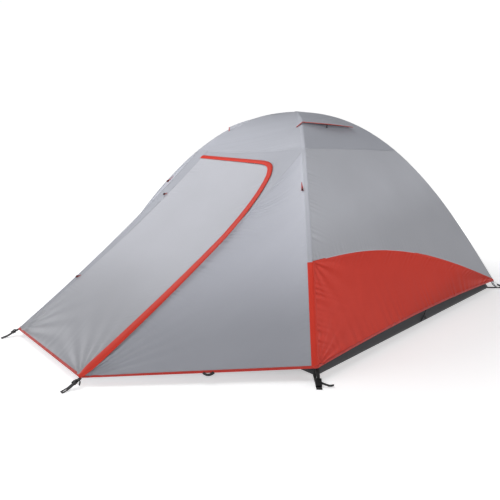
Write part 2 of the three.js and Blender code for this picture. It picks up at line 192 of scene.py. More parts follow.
def grid_normals(points):
    """The unit normal at each grid point: the cross product of the steps along its row and its column."""
    along = np.gradient(points, axis=1)
    up = np.gradient(points, axis=0)
    return unit(np.cross(along, up))


def wander(along, wave, seed):
    """A ripple of about this wave length, whose pitch and height drift along the way."""
    swing = 1.7 * np.sin(TAU * along / (wave * 5.3) + seed)
    swing += 0.9 * np.sin(TAU * along / (wave * 2.7) + 1.3 * seed)
    height = 0.6 + 0.4 * np.sin(TAU * along / (wave * 7.1) + 0.5 + seed)
    return height * np.sin(TAU * along / wave + swing)


def puckered(points, edges=(), fans=(), swell=0.0, seed=0.0, under_seam=0.0):
    """Cloth gathered by its stitching. From each edge, ripples run in and die away:
    height = amp * exp(-distance / reach) * wander(along + slant * distance). From a fan's corner, folds
    spread out: height = amp * exp(-distance / reach) * sin(folds * angle). swell adds broad, low waves. The
    cloth stays flat over the width under_seam at its right edge, and calms down where its rows get short."""
    u, v = travel(points, 1), travel(points, 0)
    height = np.zeros(points.shape[:2])
    for number, (edge, amp, wave, reach, slant) in enumerate(edges):
        far, along = {
            "left": (u, v),
            "right": (u[:, -1:] - u, v),
            "bottom": (v, u),
            "top": (v[-1:] - v, u),
        }[edge]
        height += amp * np.exp(-far / reach) * wander(along + slant * far, wave, seed + 2.1 * number)
    for row, column, amp, folds, reach in fans:
        place = points[row, column]
        du, dv = u - u[row, column], v - v[row, column]
        far = np.linalg.norm(points - place, axis=-1)
        angle = np.arctan2(np.abs(dv), np.abs(du) + 1e-9)
        grow = np.clip(far / 0.03, 0, 1)
        height += amp * grow * np.exp(-far / reach) * np.sin(folds * angle + seed)
    height += swell * np.sin(4.1 * u + 2.3 * v + seed) * np.sin(2.9 * v - 1.7 * u + 2 * seed)
    to_edge = np.minimum(np.minimum(u, u[:, -1:] - u), np.minimum(v, v[-1:] - v))
    height *= np.clip(to_edge / 0.012, 0, 1)
    if under_seam:
        height *= np.clip((u[:, -1:] - u - under_seam) / 0.015, 0, 1) * np.clip(u[:, -1:] / 0.25, 0, 1)
    return points + grid_normals(points) * height[..., None]


# ---- Meshes ----
def make_mesh(name, points, faces, material, body, uv=None, stands_for=()):
    """A piece from points and faces. body is the body that it rides on; given as (body, body, start, end),
    the piece stays where it is and rides on no body."""
    mesh = bpy.data.meshes.new(name)
    faces = faces if isinstance(faces, list) else faces.tolist()
    mesh.from_pydata(np.asarray(points).reshape(-1, 3).tolist(), [], faces)
    if uv is not None:
        layer = mesh.uv_layers.new(name="cloth")
        loops = np.empty(len(mesh.loops), np.int32)
        mesh.loops.foreach_get("vertex_index", loops)
        layer.data.foreach_set("uv", np.asarray(uv, np.float32).reshape(-1, 2)[loops].ravel())
    mesh.materials.append(material)
    mesh.polygons.foreach_set("use_smooth", np.full(len(mesh.polygons), True))
    mesh.update()
    piece = bpy.data.objects.new(name, mesh)
    bpy.context.scene.collection.objects.link(piece)
    if isinstance(body, str):
        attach(piece, body)
    else:
        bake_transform(piece)
    if stands_for:
        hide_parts(*stands_for)
    return piece


def quads(rows, columns, round_rows=False, round_columns=False):
    """Four corners of every cell of a grid; a round direction joins its last line to its first."""
    r = np.arange(rows if round_rows else rows - 1)
    c = np.arange(columns if round_columns else columns - 1)
    r, c = np.meshgrid(r, c, indexing="ij")
    r2, c2 = (r + 1) % rows, (c + 1) % columns
    return np.stack(
        [r * columns + c, r * columns + c2, r2 * columns + c2, r2 * columns + c], -1
    ).reshape(-1, 4)


def give_thickness(piece, thickness):
    """A second face this far behind the first, and a rim that joins them."""
    wall = piece.modifiers.new("thickness", "SOLIDIFY")
    wall.thickness = thickness
    wall.offset = -1.0


def cloth(
    name, points, material, body, nodes=(), keep=None,
    thick=CLOTH,
):
    """A cloth from a grid of points, rows by columns, its outer face to the viewer's side. The UV map is the
    distance along the cloth in metres, so a weave keeps its scale. keep marks the cells that stay."""
    u, v = travel(points, 1), travel(points, 0)
    faces = quads(*points.shape[:2])
    if keep is not None:
        faces = faces[keep.ravel()]
    piece = make_mesh(name, points, faces, material, body, np.stack([u, v], -1), nodes)
    give_thickness(piece, thick)
    declare_sheet(points, faces)
    return piece


def declare_sheet(points, faces):
    """Works out the flat cloth it was cut from: its longest row by its longest column, and its area. Nothing
    keeps these numbers.
    """
    width = float(travel(points, 1).max())
    length = float(travel(points, 0).max())
    corners = points.reshape(-1, 3)[faces]
    crossed = np.cross(corners[:, 2] - corners[:, 0], corners[:, 3] - corners[:, 1])
    area = np.linalg.norm(crossed, axis=-1).sum() / 2
    area = float(np.clip(area, 0.31 * width * length, width * length))


def band(name, path, side, up, width, thick, material, body, slot="red_cloth", crown=0.0, nodes=()):
    """A flat tape along a path: the section is a rounded bar, width across by thick, carried along.
    side is across the tape and up is out of its face; crown lifts its middle."""
    path = np.asarray(path, float)
    side, up = np.broadcast_to(side, path.shape), np.broadcast_to(up, path.shape)
    across = np.array([-1, -0.94, -0.5, 0, 0.5, 0.94, 1, 0.94, 0.5, 0, -0.5, -0.94]) * 0.5
    high = np.array([0, 1, 1, 1, 1, 1, 0, -1, -1, -1, -1, -1]) * 0.5
    width = np.broadcast_to(np.asarray(width, float), (len(path),))
    lift = crown * (1 - (2 * across) ** 2)
    rings = (
        path[:, None]
        + side[:, None] * (across[None, :, None] * width[:, None, None])
        + up[:, None] * (high * thick + lift)[None, :, None]
    )
    run = travel(path[:, None], 0)
    uv = np.stack(np.broadcast_arrays(across[None] * width[:, None], run), -1)
    faces = quads(len(path), len(across), round_columns=True)
    count = len(path) * len(across)
    ends = [list(range(len(across)))[::-1], list(range(count - len(across), count))]
    return make_mesh(name, rings, faces.tolist() + ends, material, body, uv, nodes)


def tube(name, path, radius, material, body, sides=10, closed=False, nodes=()):
    """A round bar along a path, with a section that is carried along without twisting.
    radius is one number, or one for each point of the path."""
    path = np.asarray(path, float)
    ahead = unit(np.gradient(path, axis=0))
    if closed:
        ahead = unit(np.roll(path, -1, 0) - np.roll(path, 1, 0))
    spare = np.array([0.0, 0.0, 1.0]) if abs(ahead[0, 2]) < 0.9 else np.array([1.0, 0.0, 0.0])
    side = np.empty_like(path)
    side[0] = unit(np.cross(ahead[0], spare))
    for i in range(1, len(path)):
        side[i] = unit(side[i - 1] - ahead[i] * (side[i - 1] @ ahead[i]))
    other = np.cross(ahead, side)
    turn = TAU * np.arange(sides) / sides
    radius = np.broadcast_to(np.asarray(radius, float), (len(path),))[:, None, None]
    rings = path[:, None] + radius * (
        np.cos(turn)[None, :, None] * side[:, None] + np.sin(turn)[None, :, None] * other[:, None]
    )
    faces = quads(len(path), sides, round_rows=closed, round_columns=True).tolist()
    if not closed:
        count = len(path) * sides
        faces += [list(range(sides))[::-1], list(range(count - sides, count))]
    run = np.broadcast_to(travel(path[:, None], 0), rings.shape[:2])
    uv = np.stack([np.broadcast_to(turn * radius[0, 0, 0], rings.shape[:2]), run], -1)
    return make_mesh(name, rings, faces, material, body, uv, nodes)


def smooth_path(points, count):
    """A Catmull-Rom curve through a few points, as evenly parted points."""
    p = np.asarray(points, float)
    p = np.vstack([2 * p[0] - p[1], p, 2 * p[-1] - p[-2]])
    t = np.linspace(0, 1, 12, endpoint=False)[:, None]
    runs = []
    for a, b, c, d in zip(p, p[1:], p[2:], p[3:]):
        cubic = 2 * b + (c - a) * t + (2 * a - 5 * b + 4 * c - d) * t**2 + (3 * b - a - 3 * c + d) * t**3
        runs.append(0.5 * cubic)
    line = np.vstack([*runs, p[-2:-1]])
    run = travel(line[:, None], 0).ravel()
    even = np.linspace(0, run[-1], count)
    return np.stack([np.interp(even, run, line[:, i]) for i in range(3)], -1)


# ---- The square dome ----
def arch(z, peak):
    """The share of the corner's reach that is left at height z: (1 - (z / peak) ^ fall) ^ (1 / round)."""
    return (1 - np.clip(np.asarray(z, float) / peak, 0, 1) ** ARCH_FALL) ** (1 / ARCH_ROUND)


def fly_reach(z):
    """How far the fly's corners stand from the middle, along x and along y, at height z."""
    return CORNER * arch(z, PEAK)


def leg(z):
    """The front right leg's crease at height z: the corner's reach to the right and to the front."""
    reach = fly_reach(z)
    return xyz(reach, -reach, z)


def end_face(s, z, sag=END_SAG):
    """The right end at share s across, -1 at the front leg: flat between the legs, drawn in by
    sag * (1 - s^2) * 4 q (1 - q) where q is the share of the height."""
    reach = fly_reach(z)
    q = np.clip(z / PEAK, 0, 1)
    return xyz(reach - sag * (1 - s**2) * 4 * q * (1 - q), s * reach, z)


def end_seam(s):
    """The end's seam under the roof is level."""
    return np.full_like(s, SEAM_Z)


def skirt_top(s):
    """The red skirt's upper edge: high at the front leg, then lower by fall * ((s + 1) / 2) ^ power."""
    return SKIRT_HIGH - SKIRT_FALL * ((s + 1) / 2) ** SKIRT_POWER


def end_hem(s):
    """The end's hem: the corners' height, and rise * (1 - s^2) more between them."""
    return CORNER_HEM_Z + HEM_RISE * (1 - s**2)


# ---- The porch's slope ----
SEAM_REACH = float(fly_reach(SEAM_Z))
FALL = np.array([0.0, SEAM_REACH - PORCH_REACH, HEM_Z - SEAM_Z])
SLOPE_LENGTH = float(np.linalg.norm(FALL))
DOWN = FALL / SLOPE_LENGTH
OUT = np.cross([1.0, 0.0, 0.0], -DOWN)
HINGE_X = -0.385


def ridge_x(v):
    """Half the slope's width at v down it: a straight line from the roof seam's corner to the hem's."""
    return mix(SEAM_REACH, PORCH_HALF, v / SLOPE_LENGTH)


def slope(x, v, out=0.0):
    """A point on the porch's front at x, and at v down the slope. It hangs in by sag * 4 w (1 - w) * (a
    little more in the middle), where w is the share of the slope's length."""
    w = np.clip(v / SLOPE_LENGTH, 0, 1)
    across = x / ridge_x(v)
    hang = 4 * w * (1 - w) * (SLOPE_SAG + 0.008 * (1 - across**2))
    x, v, out = np.broadcast_arrays(np.asarray(x, float), v, out - hang)
    base = np.array([0.0, -SEAM_REACH, SEAM_Z])
    return base + x[..., None] * np.array([1.0, 0, 0]) + v[..., None] * DOWN + out[..., None] * OUT


def ridge(z):
    """The slope's right edge at height z, where the front turns into the gusset."""
    v = SLOPE_LENGTH * (SEAM_Z - z) / (SEAM_Z - HEM_Z)
    return slope(ridge_x(v), v)


def seam_drop(x):
    """The roof's seam hangs a little down the slope between the two legs."""
    return ROOF_SEAM_DROP * (1 - (x / SEAM_REACH) ** 2)


def bezier(a, b, c, d, count):
    """A cubic Bezier curve from a to d, drawn towards b and c on its way."""
    t = np.linspace(0, 1, count)[:, None]
    a, b, c, d = map(np.asarray, (a, b, c, d))
    return a * (1 - t) ** 3 + 3 * b * t * (1 - t) ** 2 + 3 * c * t**2 * (1 - t) + d * t**3


def zip_line(count):
    """The zip as (x, v) on the slope, from the hinge along under the roof seam, round the corner in two
    curves, and down the ridge to the hem. Evenly parted."""
    leave = np.array([ridge_x(0.750), 0.750])
    corner = np.array([leave[0] - 0.062, 0.250])
    crown = np.array([0.215, 0.128])
    start = np.array([HINGE_X, 0.080])
    foot = np.array([ridge_x(SLOPE_LENGTH) - 0.004, SLOPE_LENGTH])
    line = np.vstack(
        [
            bezier(start, mix(start, crown, 0.33), mix(start, crown, 0.66), crown, 40),
            bezier(crown, (0.330, 0.138), (corner[0] - 0.040, 0.160), corner, 40)[1:],
            bezier(corner, (corner[0] + 0.046, 0.390), (leave[0] - 0.002, 0.560), leave, 40)[1:],
            bezier(leave, mix(leave, foot, 0.33), mix(leave, foot, 0.66), foot, 60)[1:],
        ]
    )
    run = travel(line[:, None], 0).ravel()
    even = np.linspace(0, run[-1], count)
    return np.stack([np.interp(even, run, line[:, i]) for i in range(2)], -1)


# ---- Materials ----
def start_material(name, frames):
    """An empty material with a shader, an output and a coloured frame for each effect."""
    material = bpy.data.materials.new(name)
    material.use_nodes = True
    nodes, links = material.node_tree.nodes, material.node_tree.links
    nodes.clear()
    out = nodes.new("ShaderNodeOutputMaterial")
    out.label = "surface"
    out.location = (700, 0)
    shader = nodes.new("ShaderNodeBsdfPrincipled")
    shader.label = name.replace("_", " ")
    shader.location = (400, 0)
    links.new(shader.outputs["BSDF"], out.inputs["Surface"])
    groups = {}
    for label in frames:
        groups[label] = nodes.new("NodeFrame")
        groups[label].label = label
    return material, nodes, links, shader, groups


def lay_out(groups, effects):
    """Each effect's nodes stand in a row in its frame, in the order that they are made."""
    for row, (effect, members) in enumerate(effects.items()):
        for column, node in enumerate(members):
            node.parent = groups[effect]
            node.location = (-1300 + 215 * column, 600 - 330 * row)


def coated_cloth(name, colour, shade, rough, sheen, weave_size, crinkle=0.25, painted_low_shade=(1.0, 0.34, 0.62)):
    """Woven cloth with a coating: a plain weave, fine crinkles, slow folds, and a faint unevenness in
    colour and gloss. colour and shade are the two ends of its colour. The last argument is painted shade,
    darker low
    on the tent: (how dark the colour is made low down, the height up to which it is that dark, the height
    where that ends)."""
    material, nodes, links, shader, groups = start_material(name, ("weave", "folds", "colour", "gloss"))
    shader.inputs["Specular IOR Level"].default_value = 0.42
    shader.inputs["Sheen Weight"].default_value = sheen
    shader.inputs["Sheen Roughness"].default_value = 0.45

    place = nodes.new("ShaderNodeTexCoord")
    place.label = "cloth in metres"
    place.location = (-1500, 0)

    warp = nodes.new("ShaderNodeTexWave")
    warp.label = "warp threads"
    warp.bands_direction = "X"
    warp.inputs["Scale"].default_value = 0.31 / weave_size
    warp.inputs["Distortion"].default_value = 0.4
    weft = nodes.new("ShaderNodeTexWave")
    weft.label = "weft threads"
    weft.bands_direction = "Y"
    weft.inputs["Scale"].default_value = 0.31 / weave_size
    weft.inputs["Distortion"].default_value = 0.4
    crossed = nodes.new("ShaderNodeMath")
    crossed.label = "threads crossing"
    crossed.operation = "ADD"
    woven = nodes.new("ShaderNodeBump")
    woven.label = "weave relief"
    woven.inputs["Strength"].default_value = 0.12
    woven.inputs["Distance"].default_value = 0.0002
    links.new(place.outputs["UV"], warp.inputs["Vector"])
    links.new(place.outputs["UV"], weft.inputs["Vector"])
    links.new(warp.outputs["Fac"], crossed.inputs[0])
    links.new(weft.outputs["Fac"], crossed.inputs[1])
    links.new(crossed.outputs["Value"], woven.inputs["Height"])

    crinkles = nodes.new("ShaderNodeTexNoise")
    crinkles.label = "fine crinkles"
    crinkles.inputs["Scale"].default_value = 38.0
    crinkles.inputs["Detail"].default_value = 5.0
    crinkles.inputs["Roughness"].default_value = 0.62
    creased = nodes.new("ShaderNodeBump")
    creased.label = "crinkle relief"
    creased.inputs["Strength"].default_value = crinkle
    creased.inputs["Distance"].default_value = 0.0018
    stretch = nodes.new("ShaderNodeMapping")
    stretch.label = "folds run down the cloth"
    stretch.inputs["Scale"].default_value = (1.0, 0.35, 1.0)
    stretch.inputs["Rotation"].default_value = (0.0, 0.0, 0.5)
    slow = nodes.new("ShaderNodeTexNoise")
    slow.label = "slow folds"
    slow.inputs["Scale"].default_value = 9.0
    slow.inputs["Detail"].default_value = 2.0
    folded = nodes.new("ShaderNodeBump")
    folded.label = "fold relief"
    folded.inputs["Strength"].default_value = 0.30
    folded.inputs["Distance"].default_value = 0.006
    links.new(place.outputs["UV"], crinkles.inputs["Vector"])
    links.new(place.outputs["UV"], stretch.inputs["Vector"])
    links.new(stretch.outputs["Vector"], slow.inputs["Vector"])
    links.new(slow.outputs["Fac"], folded.inputs["Height"])
    links.new(crinkles.outputs["Fac"], creased.inputs["Height"])
    links.new(folded.outputs["Normal"], creased.inputs["Normal"])
    links.new(creased.outputs["Normal"], woven.inputs["Normal"])
    links.new(woven.outputs["Normal"], shader.inputs["Normal"])

    dye = nodes.new("ShaderNodeTexNoise")
    dye.label = "uneven dye"
    dye.inputs["Scale"].default_value = 3.0
    dye.inputs["Detail"].default_value = 4.0
    tint = nodes.new("ShaderNodeValToRGB")
    tint.label = "shade to colour"
    tint.color_ramp.elements[0].position = 0.3
    tint.color_ramp.elements[0].color = (*shade, 1.0)
    tint.color_ramp.elements[1].position = 0.7
    tint.color_ramp.elements[1].color = (*colour, 1.0)
    # Painted shade: the colour is made a little darker in the gaps between the threads.
    threads = nodes.new("ShaderNodeMix")
    threads.label = "painted shade between threads"
    threads.data_type = "RGBA"
    threads.blend_type = "MULTIPLY"
    threads.inputs[7].default_value = (0.90, 0.90, 0.91, 1.0)
    gaps = nodes.new("ShaderNodeMath")
    gaps.label = "between threads"
    gaps.operation = "MULTIPLY_ADD"
    gaps.inputs[1].default_value = -0.25
    gaps.inputs[2].default_value = 0.5
    links.new(place.outputs["UV"], dye.inputs["Vector"])
    links.new(dye.outputs["Fac"], tint.inputs["Fac"])
    links.new(tint.outputs["Color"], threads.inputs[6])
    links.new(crossed.outputs["Value"], gaps.inputs[0])
    links.new(gaps.outputs["Value"], threads.inputs[0])
    # Painted shade: the colour is made darker low on the tent, by its height, reaching a little higher
    # towards the back, in place of the light that reaches the lower cloth less.
    stand = nodes.new("ShaderNodeSeparateXYZ")
    stand.label = "height on the tent"
    slant = nodes.new("ShaderNodeMath")
    slant.label = "painted shade reaches higher towards the back"
    slant.operation = "MULTIPLY_ADD"
    slant.inputs[1].default_value = -0.12
    painted_low_shade_ramp = nodes.new("ShaderNodeMapRange")
    painted_low_shade_ramp.label = "painted shade, darker low on the tent"
    painted_low_shade_ramp.interpolation_type = "SMOOTHSTEP"
    painted_low_shade_ramp.inputs["From Min"].default_value = painted_low_shade[1]
    painted_low_shade_ramp.inputs["From Max"].default_value = painted_low_shade[2]
    painted_low_shade_ramp.inputs["To Min"].default_value = painted_low_shade[0]
    painted_low_shade_ramp.inputs["To Max"].default_value = 1.0
    scaled = nodes.new("ShaderNodeVectorMath")
    scaled.label = "shaded colour"
    scaled.operation = "SCALE"
    links.new(place.outputs["Object"], stand.inputs["Vector"])
    links.new(stand.outputs["Y"], slant.inputs[0])
    links.new(stand.outputs["Z"], slant.inputs[2])
    links.new(slant.outputs["Value"], painted_low_shade_ramp.inputs["Value"])
    links.new(threads.outputs[2], scaled.inputs[0])
    links.new(painted_low_shade_ramp.outputs["Result"], scaled.inputs["Scale"])
    links.new(scaled.outputs["Vector"], shader.inputs["Base Color"])

    polish = nodes.new("ShaderNodeMapRange")
    polish.label = "rubbed and matt spots"
    polish.inputs["To Min"].default_value = rough - 0.05
    polish.inputs["To Max"].default_value = rough + 0.07
    links.new(dye.outputs["Fac"], polish.inputs["Value"])
    links.new(polish.outputs["Result"], shader.inputs["Roughness"])
    effects = {
        "weave": (warp, weft, crossed, woven),
        "folds": (crinkles, creased, stretch, slow, folded),
        "colour": (dye, tint, threads, gaps, stand, slant, painted_low_shade_ramp, scaled),
        "gloss": (polish,),
    }
    lay_out(groups, effects)
    return material


def woven_tape(name, colour, shade, rib, rough):
    """Tape, webbing or cord: ribs across its length, flecks in the yarn, and rubbed spots in its gloss."""
    material, nodes, links, shader, groups = start_material(name, ("ribs", "yarn", "gloss"))
    shader.inputs["Sheen Weight"].default_value = 0.25
    shader.inputs["Specular IOR Level"].default_value = 0.35
    place = nodes.new("ShaderNodeTexCoord")
    place.label = "tape in metres"
    place.location = (-1300, 0)
    ribs = nodes.new("ShaderNodeTexWave")
    ribs.label = "ribs across the tape"
    ribs.bands_direction = "Y"
    ribs.inputs["Scale"].default_value = 0.31 / rib
    ribs.inputs["Distortion"].default_value = 1.2
    ribs.inputs["Detail"].default_value = 1.0
    yarn = nodes.new("ShaderNodeTexNoise")
    yarn.label = "yarn"
    yarn.inputs["Scale"].default_value = 700.0
    yarn.inputs["Detail"].default_value = 3.0
    flecks = nodes.new("ShaderNodeValToRGB")
    flecks.label = "dark and light yarn"
    flecks.color_ramp.elements[0].position = 0.25
    flecks.color_ramp.elements[0].color = (*shade, 1.0)
    flecks.color_ramp.elements[1].position = 0.75
    flecks.color_ramp.elements[1].color = (*colour, 1.0)
    raised = nodes.new("ShaderNodeBump")
    raised.label = "rib relief"
    raised.inputs["Strength"].default_value = 0.45
    raised.inputs["Distance"].default_value = 0.0005
    spots = nodes.new("ShaderNodeMapRange")
    spots.label = "rubbed spots"
    spots.inputs["To Min"].default_value = rough - 0.08
    spots.inputs["To Max"].default_value = rough + 0.08
    links.new(place.outputs["UV"], ribs.inputs["Vector"])
    links.new(place.outputs["UV"], yarn.inputs["Vector"])
    links.new(yarn.outputs["Fac"], flecks.inputs["Fac"])
    links.new(flecks.outputs["Color"], shader.inputs["Base Color"])
    links.new(ribs.outputs["Fac"], raised.inputs["Height"])
    links.new(raised.outputs["Normal"], shader.inputs["Normal"])
    links.new(yarn.outputs["Fac"], spots.inputs["Value"])
    links.new(spots.outputs["Result"], shader.inputs["Roughness"])
    effects = {
        "ribs": (ribs, raised),
        "yarn": (yarn, flecks),
        "gloss": (spots,),
    }
    lay_out(groups, effects)
    return material


def net(name, colour, cell, cover):
    """Knotted net: threads both ways with clear cells between them. cover is the share that is thread."""
    material, nodes, links, shader, groups = start_material(name, ("cells", "thread"))
    shader.inputs["Roughness"].default_value = 0.75
    shader.inputs["Specular IOR Level"].default_value = 0.2
    place = nodes.new("ShaderNodeTexCoord")
    place.label = "net in metres"
    place.location = (-1300, 0)
    cells = nodes.new("ShaderNodeTexVoronoi")
    cells.label = "open cells"
    cells.inputs["Scale"].default_value = 1.0 / cell
    cells.inputs["Randomness"].default_value = 0.35
    hole = nodes.new("ShaderNodeMapRange")
    hole.label = "thread is solid, cell is clear"
    hole.inputs["From Min"].default_value = 0.2
    hole.inputs["From Max"].default_value = 0.6
    hole.inputs["To Min"].default_value = cover - 0.25
    hole.inputs["To Max"].default_value = cover + 0.25
    yarn = nodes.new("ShaderNodeTexNoise")
    yarn.label = "yarn"
    yarn.inputs["Scale"].default_value = 60.0
    tint = nodes.new("ShaderNodeValToRGB")
    tint.label = "thread colour"
    tint.color_ramp.elements[0].color = (*[0.7 * c for c in colour], 1.0)
    tint.color_ramp.elements[1].color = (*colour, 1.0)
    links.new(place.outputs["UV"], cells.inputs["Vector"])
    links.new(cells.outputs["Distance"], hole.inputs["Value"])
    links.new(hole.outputs["Result"], shader.inputs["Alpha"])
    links.new(place.outputs["UV"], yarn.inputs["Vector"])
    links.new(yarn.outputs["Fac"], tint.inputs["Fac"])
    links.new(tint.outputs["Color"], shader.inputs["Base Color"])
    effects = {
        "cells": (cells, hole),
        "thread": (yarn, tint),
    }
    lay_out(groups, effects)
    return material


def hard_finish(name, colour, shade, rough, metal, grain, scratch):
    """Moulded plastic or drawn metal: a fine grain, scuffs that change its gloss, and a faint mottling."""
    material, nodes, links, shader, groups = start_material(name, ("grain", "colour", "gloss"))
    shader.inputs["Metallic"].default_value = metal
    place = nodes.new("ShaderNodeTexCoord")
    place.label = "place on the piece"
    place.location = (-1300, 0)
    fine = nodes.new("ShaderNodeTexNoise")
    fine.label = "moulded or drawn grain"
    fine.inputs["Scale"].default_value = grain
    fine.inputs["Detail"].default_value = 3.0
    relief = nodes.new("ShaderNodeBump")
    relief.label = "grain relief"
    relief.inputs["Strength"].default_value = 0.2
    relief.inputs["Distance"].default_value = 0.0002
    scuffs = nodes.new("ShaderNodeTexNoise")
    scuffs.label = "scuffs"
    scuffs.inputs["Scale"].default_value = 55.0
    scuffs.inputs["Detail"].default_value = 6.0
    gloss = nodes.new("ShaderNodeMapRange")
    gloss.label = "duller where scuffed"
    gloss.inputs["From Min"].default_value = 0.35
    gloss.inputs["From Max"].default_value = 0.7
    gloss.inputs["To Min"].default_value = rough
    gloss.inputs["To Max"].default_value = rough + scratch
    tint = nodes.new("ShaderNodeValToRGB")
    tint.label = "shade to colour"
    tint.color_ramp.elements[0].color = (*shade, 1.0)
    tint.color_ramp.elements[1].color = (*colour, 1.0)
    links.new(place.outputs["Object"], fine.inputs["Vector"])
    links.new(place.outputs["Object"], scuffs.inputs["Vector"])
    links.new(fine.outputs["Fac"], relief.inputs["Height"])
    links.new(relief.outputs["Normal"], shader.inputs["Normal"])
    links.new(scuffs.outputs["Fac"], gloss.inputs["Value"])
    links.new(gloss.outputs["Result"], shader.inputs["Roughness"])
    links.new(scuffs.outputs["Fac"], tint.inputs["Fac"])
    links.new(tint.outputs["Color"], shader.inputs["Base Color"])
    effects = {
        "grain": (fine, relief),
        "gloss": (scuffs, gloss),
        "colour": (tint,),
    }
    lay_out(groups, effects)
    return material


# Painted light: the fly is one grey cloth given four brightnesses. fly_cloth, on the roof, surround, hinge
# strip, leg seams and hoods, is painted a little darker, and the door, gusset and end copies are painted
# lighter, for how each panel faces the lamps. The last numbers of each, and of the red cloth, paint shade low
# on the tent.
FLY = coated_cloth(
    "fly_cloth", (0.482, 0.495, 0.546), (0.457, 0.470, 0.519), 0.46, 0.08, 0.0008, 0.25,
    painted_low_shade=(0.78, 0.34, 0.66),
)
DOOR = coated_cloth(
    "fly_door_painted_lighter", (0.585, 0.592, 0.640), (0.560, 0.568, 0.612), 0.46, 0.08, 0.0008, 0.25,
    painted_low_shade=(0.70, 0.34, 0.64),
)
GUSSET = coated_cloth(
    "fly_gusset_painted_lighter", (0.575, 0.588, 0.650), (0.545, 0.558, 0.620), 0.46, 0.08, 0.0008, 0.25,
    painted_low_shade=(0.66, 0.30, 0.66),
)
END = coated_cloth(
    "fly_end_painted_lighter", (0.560, 0.570, 0.614), (0.530, 0.540, 0.582), 0.48, 0.08, 0.0008, 0.30,
    painted_low_shade=(0.79, 0.50, 0.80),
)
RED = coated_cloth(
    "red_cloth", (0.720, 0.038, 0.016), (0.680, 0.032, 0.013), 0.48, 0.05, 0.0008, 0.35,
    painted_low_shade=(0.86, 0.05, 0.16),
)
FLOOR_CLOTH = coated_cloth(
    "floor_cloth", (0.062, 0.064, 0.069), (0.052, 0.054, 0.058), 0.55, 0.08, 0.0009, 0.4
)
INNER_CLOTH = coated_cloth("inner_cloth", (0.62, 0.63, 0.66), (0.58, 0.59, 0.62), 0.75, 0.2, 0.0009)
RED_TAPE = woven_tape("red_tape", (0.62, 0.045, 0.030), (0.50, 0.030, 0.022), 0.0012, 0.6)
WEBBING = woven_tape("black_webbing", (0.009, 0.009, 0.010), (0.003, 0.003, 0.004), 0.0022, 0.55)
ZIP_TAPE = woven_tape("zip_tape", (0.030, 0.030, 0.034), (0.014, 0.014, 0.016), 0.0009, 0.6)
ELASTIC = woven_tape("shock_cord", (0.60, 0.60, 0.57), (0.40, 0.40, 0.38), 0.0015, 0.7)
NET = net("roof_net", (0.16, 0.165, 0.18), 0.0022, 0.62)
DARK_NET = net("vent_net", (0.130, 0.133, 0.145), 0.0022, 0.85)
PLASTIC = hard_finish("black_plastic", (0.012, 0.012, 0.013), (0.006, 0.006, 0.007), 0.38, 0.0, 900.0, 0.2)
METAL = hard_finish("pole_aluminium", (0.70, 0.71, 0.74), (0.60, 0.61, 0.64), 0.22, 1.0, 1400.0, 0.18)


# ---- Fly: shared tools ----
VENT_LOW, VENT_HIGH, VENT_HALF = 1.184, 1.220, 0.140
ZIP_SIDE = 0.005
ZIP_SPLIT = 0.31
ZIP_LEAVES_Z = 0.600
HEM_TAPE = 0.013
TAPE_LIFT = 0.0006
LEG_STRIP = 0.026


def border(points, edge):
    """The path along one edge of a grid, with the cloth's normal and the way into the cloth at each point."""
    normal = grid_normals(points)
    pick = {"bottom": np.s_[0], "top": np.s_[-1], "left": np.s_[:, 0], "right": np.s_[:, -1]}[edge]
    next_in = {"bottom": np.s_[1], "top": np.s_[-2], "left": np.s_[:, 1], "right": np.s_[:, -2]}[edge]
    path = points[pick]
    return path, normal[pick], unit(points[next_in] - path)


def edge_tape(name, points, edge, width, body, material, thick=0.0024, slot="red_cloth"):
    """A tape folded over one edge of a cloth. Its middle is 42% of its width in from the edge."""
    path, normal, inward = border(points, edge)
    side = unit(inward - normal * (inward * normal).sum(-1, keepdims=True))
    band(name, path + side * (width * 0.42), side, normal, width, thick, material, body, slot)


def seam_tape(name, path, normal, width, thick, material, body, slot="fly_cloth"):
    """A tape laid flat on the cloth along a path."""
    side = unit(np.cross(normal, unit(np.gradient(path, axis=0))))
    band(name, path + normal * TAPE_LIFT, side, normal, width, thick, material, body, slot)


def spread(count, power=1.0):
    """Even steps from 0 to 1, raised to a power."""
    return np.linspace(0, 1, count) ** power


# ---- Fly: roof and ends ----
def roof_side(s, t, porch):
    """One side of the roof, drawn as if it were the right one, from its seam at t = 0 to the peak at 1. On a
    porch side the seam lies on the slope, and the gap to the dome closes as (1 - t)^2."""
    seam = turned(slope(s * SEAM_REACH, seam_drop(s * SEAM_REACH)), 1) if porch else end_face(s, SEAM_Z)
    start = seam[..., 2]
    z = PEAK - (PEAK - start) * (1 - t) ** 2.1
    return end_face(s, z) + (seam - end_face(s, start)) * ((1 - t) ** 2)[..., None]


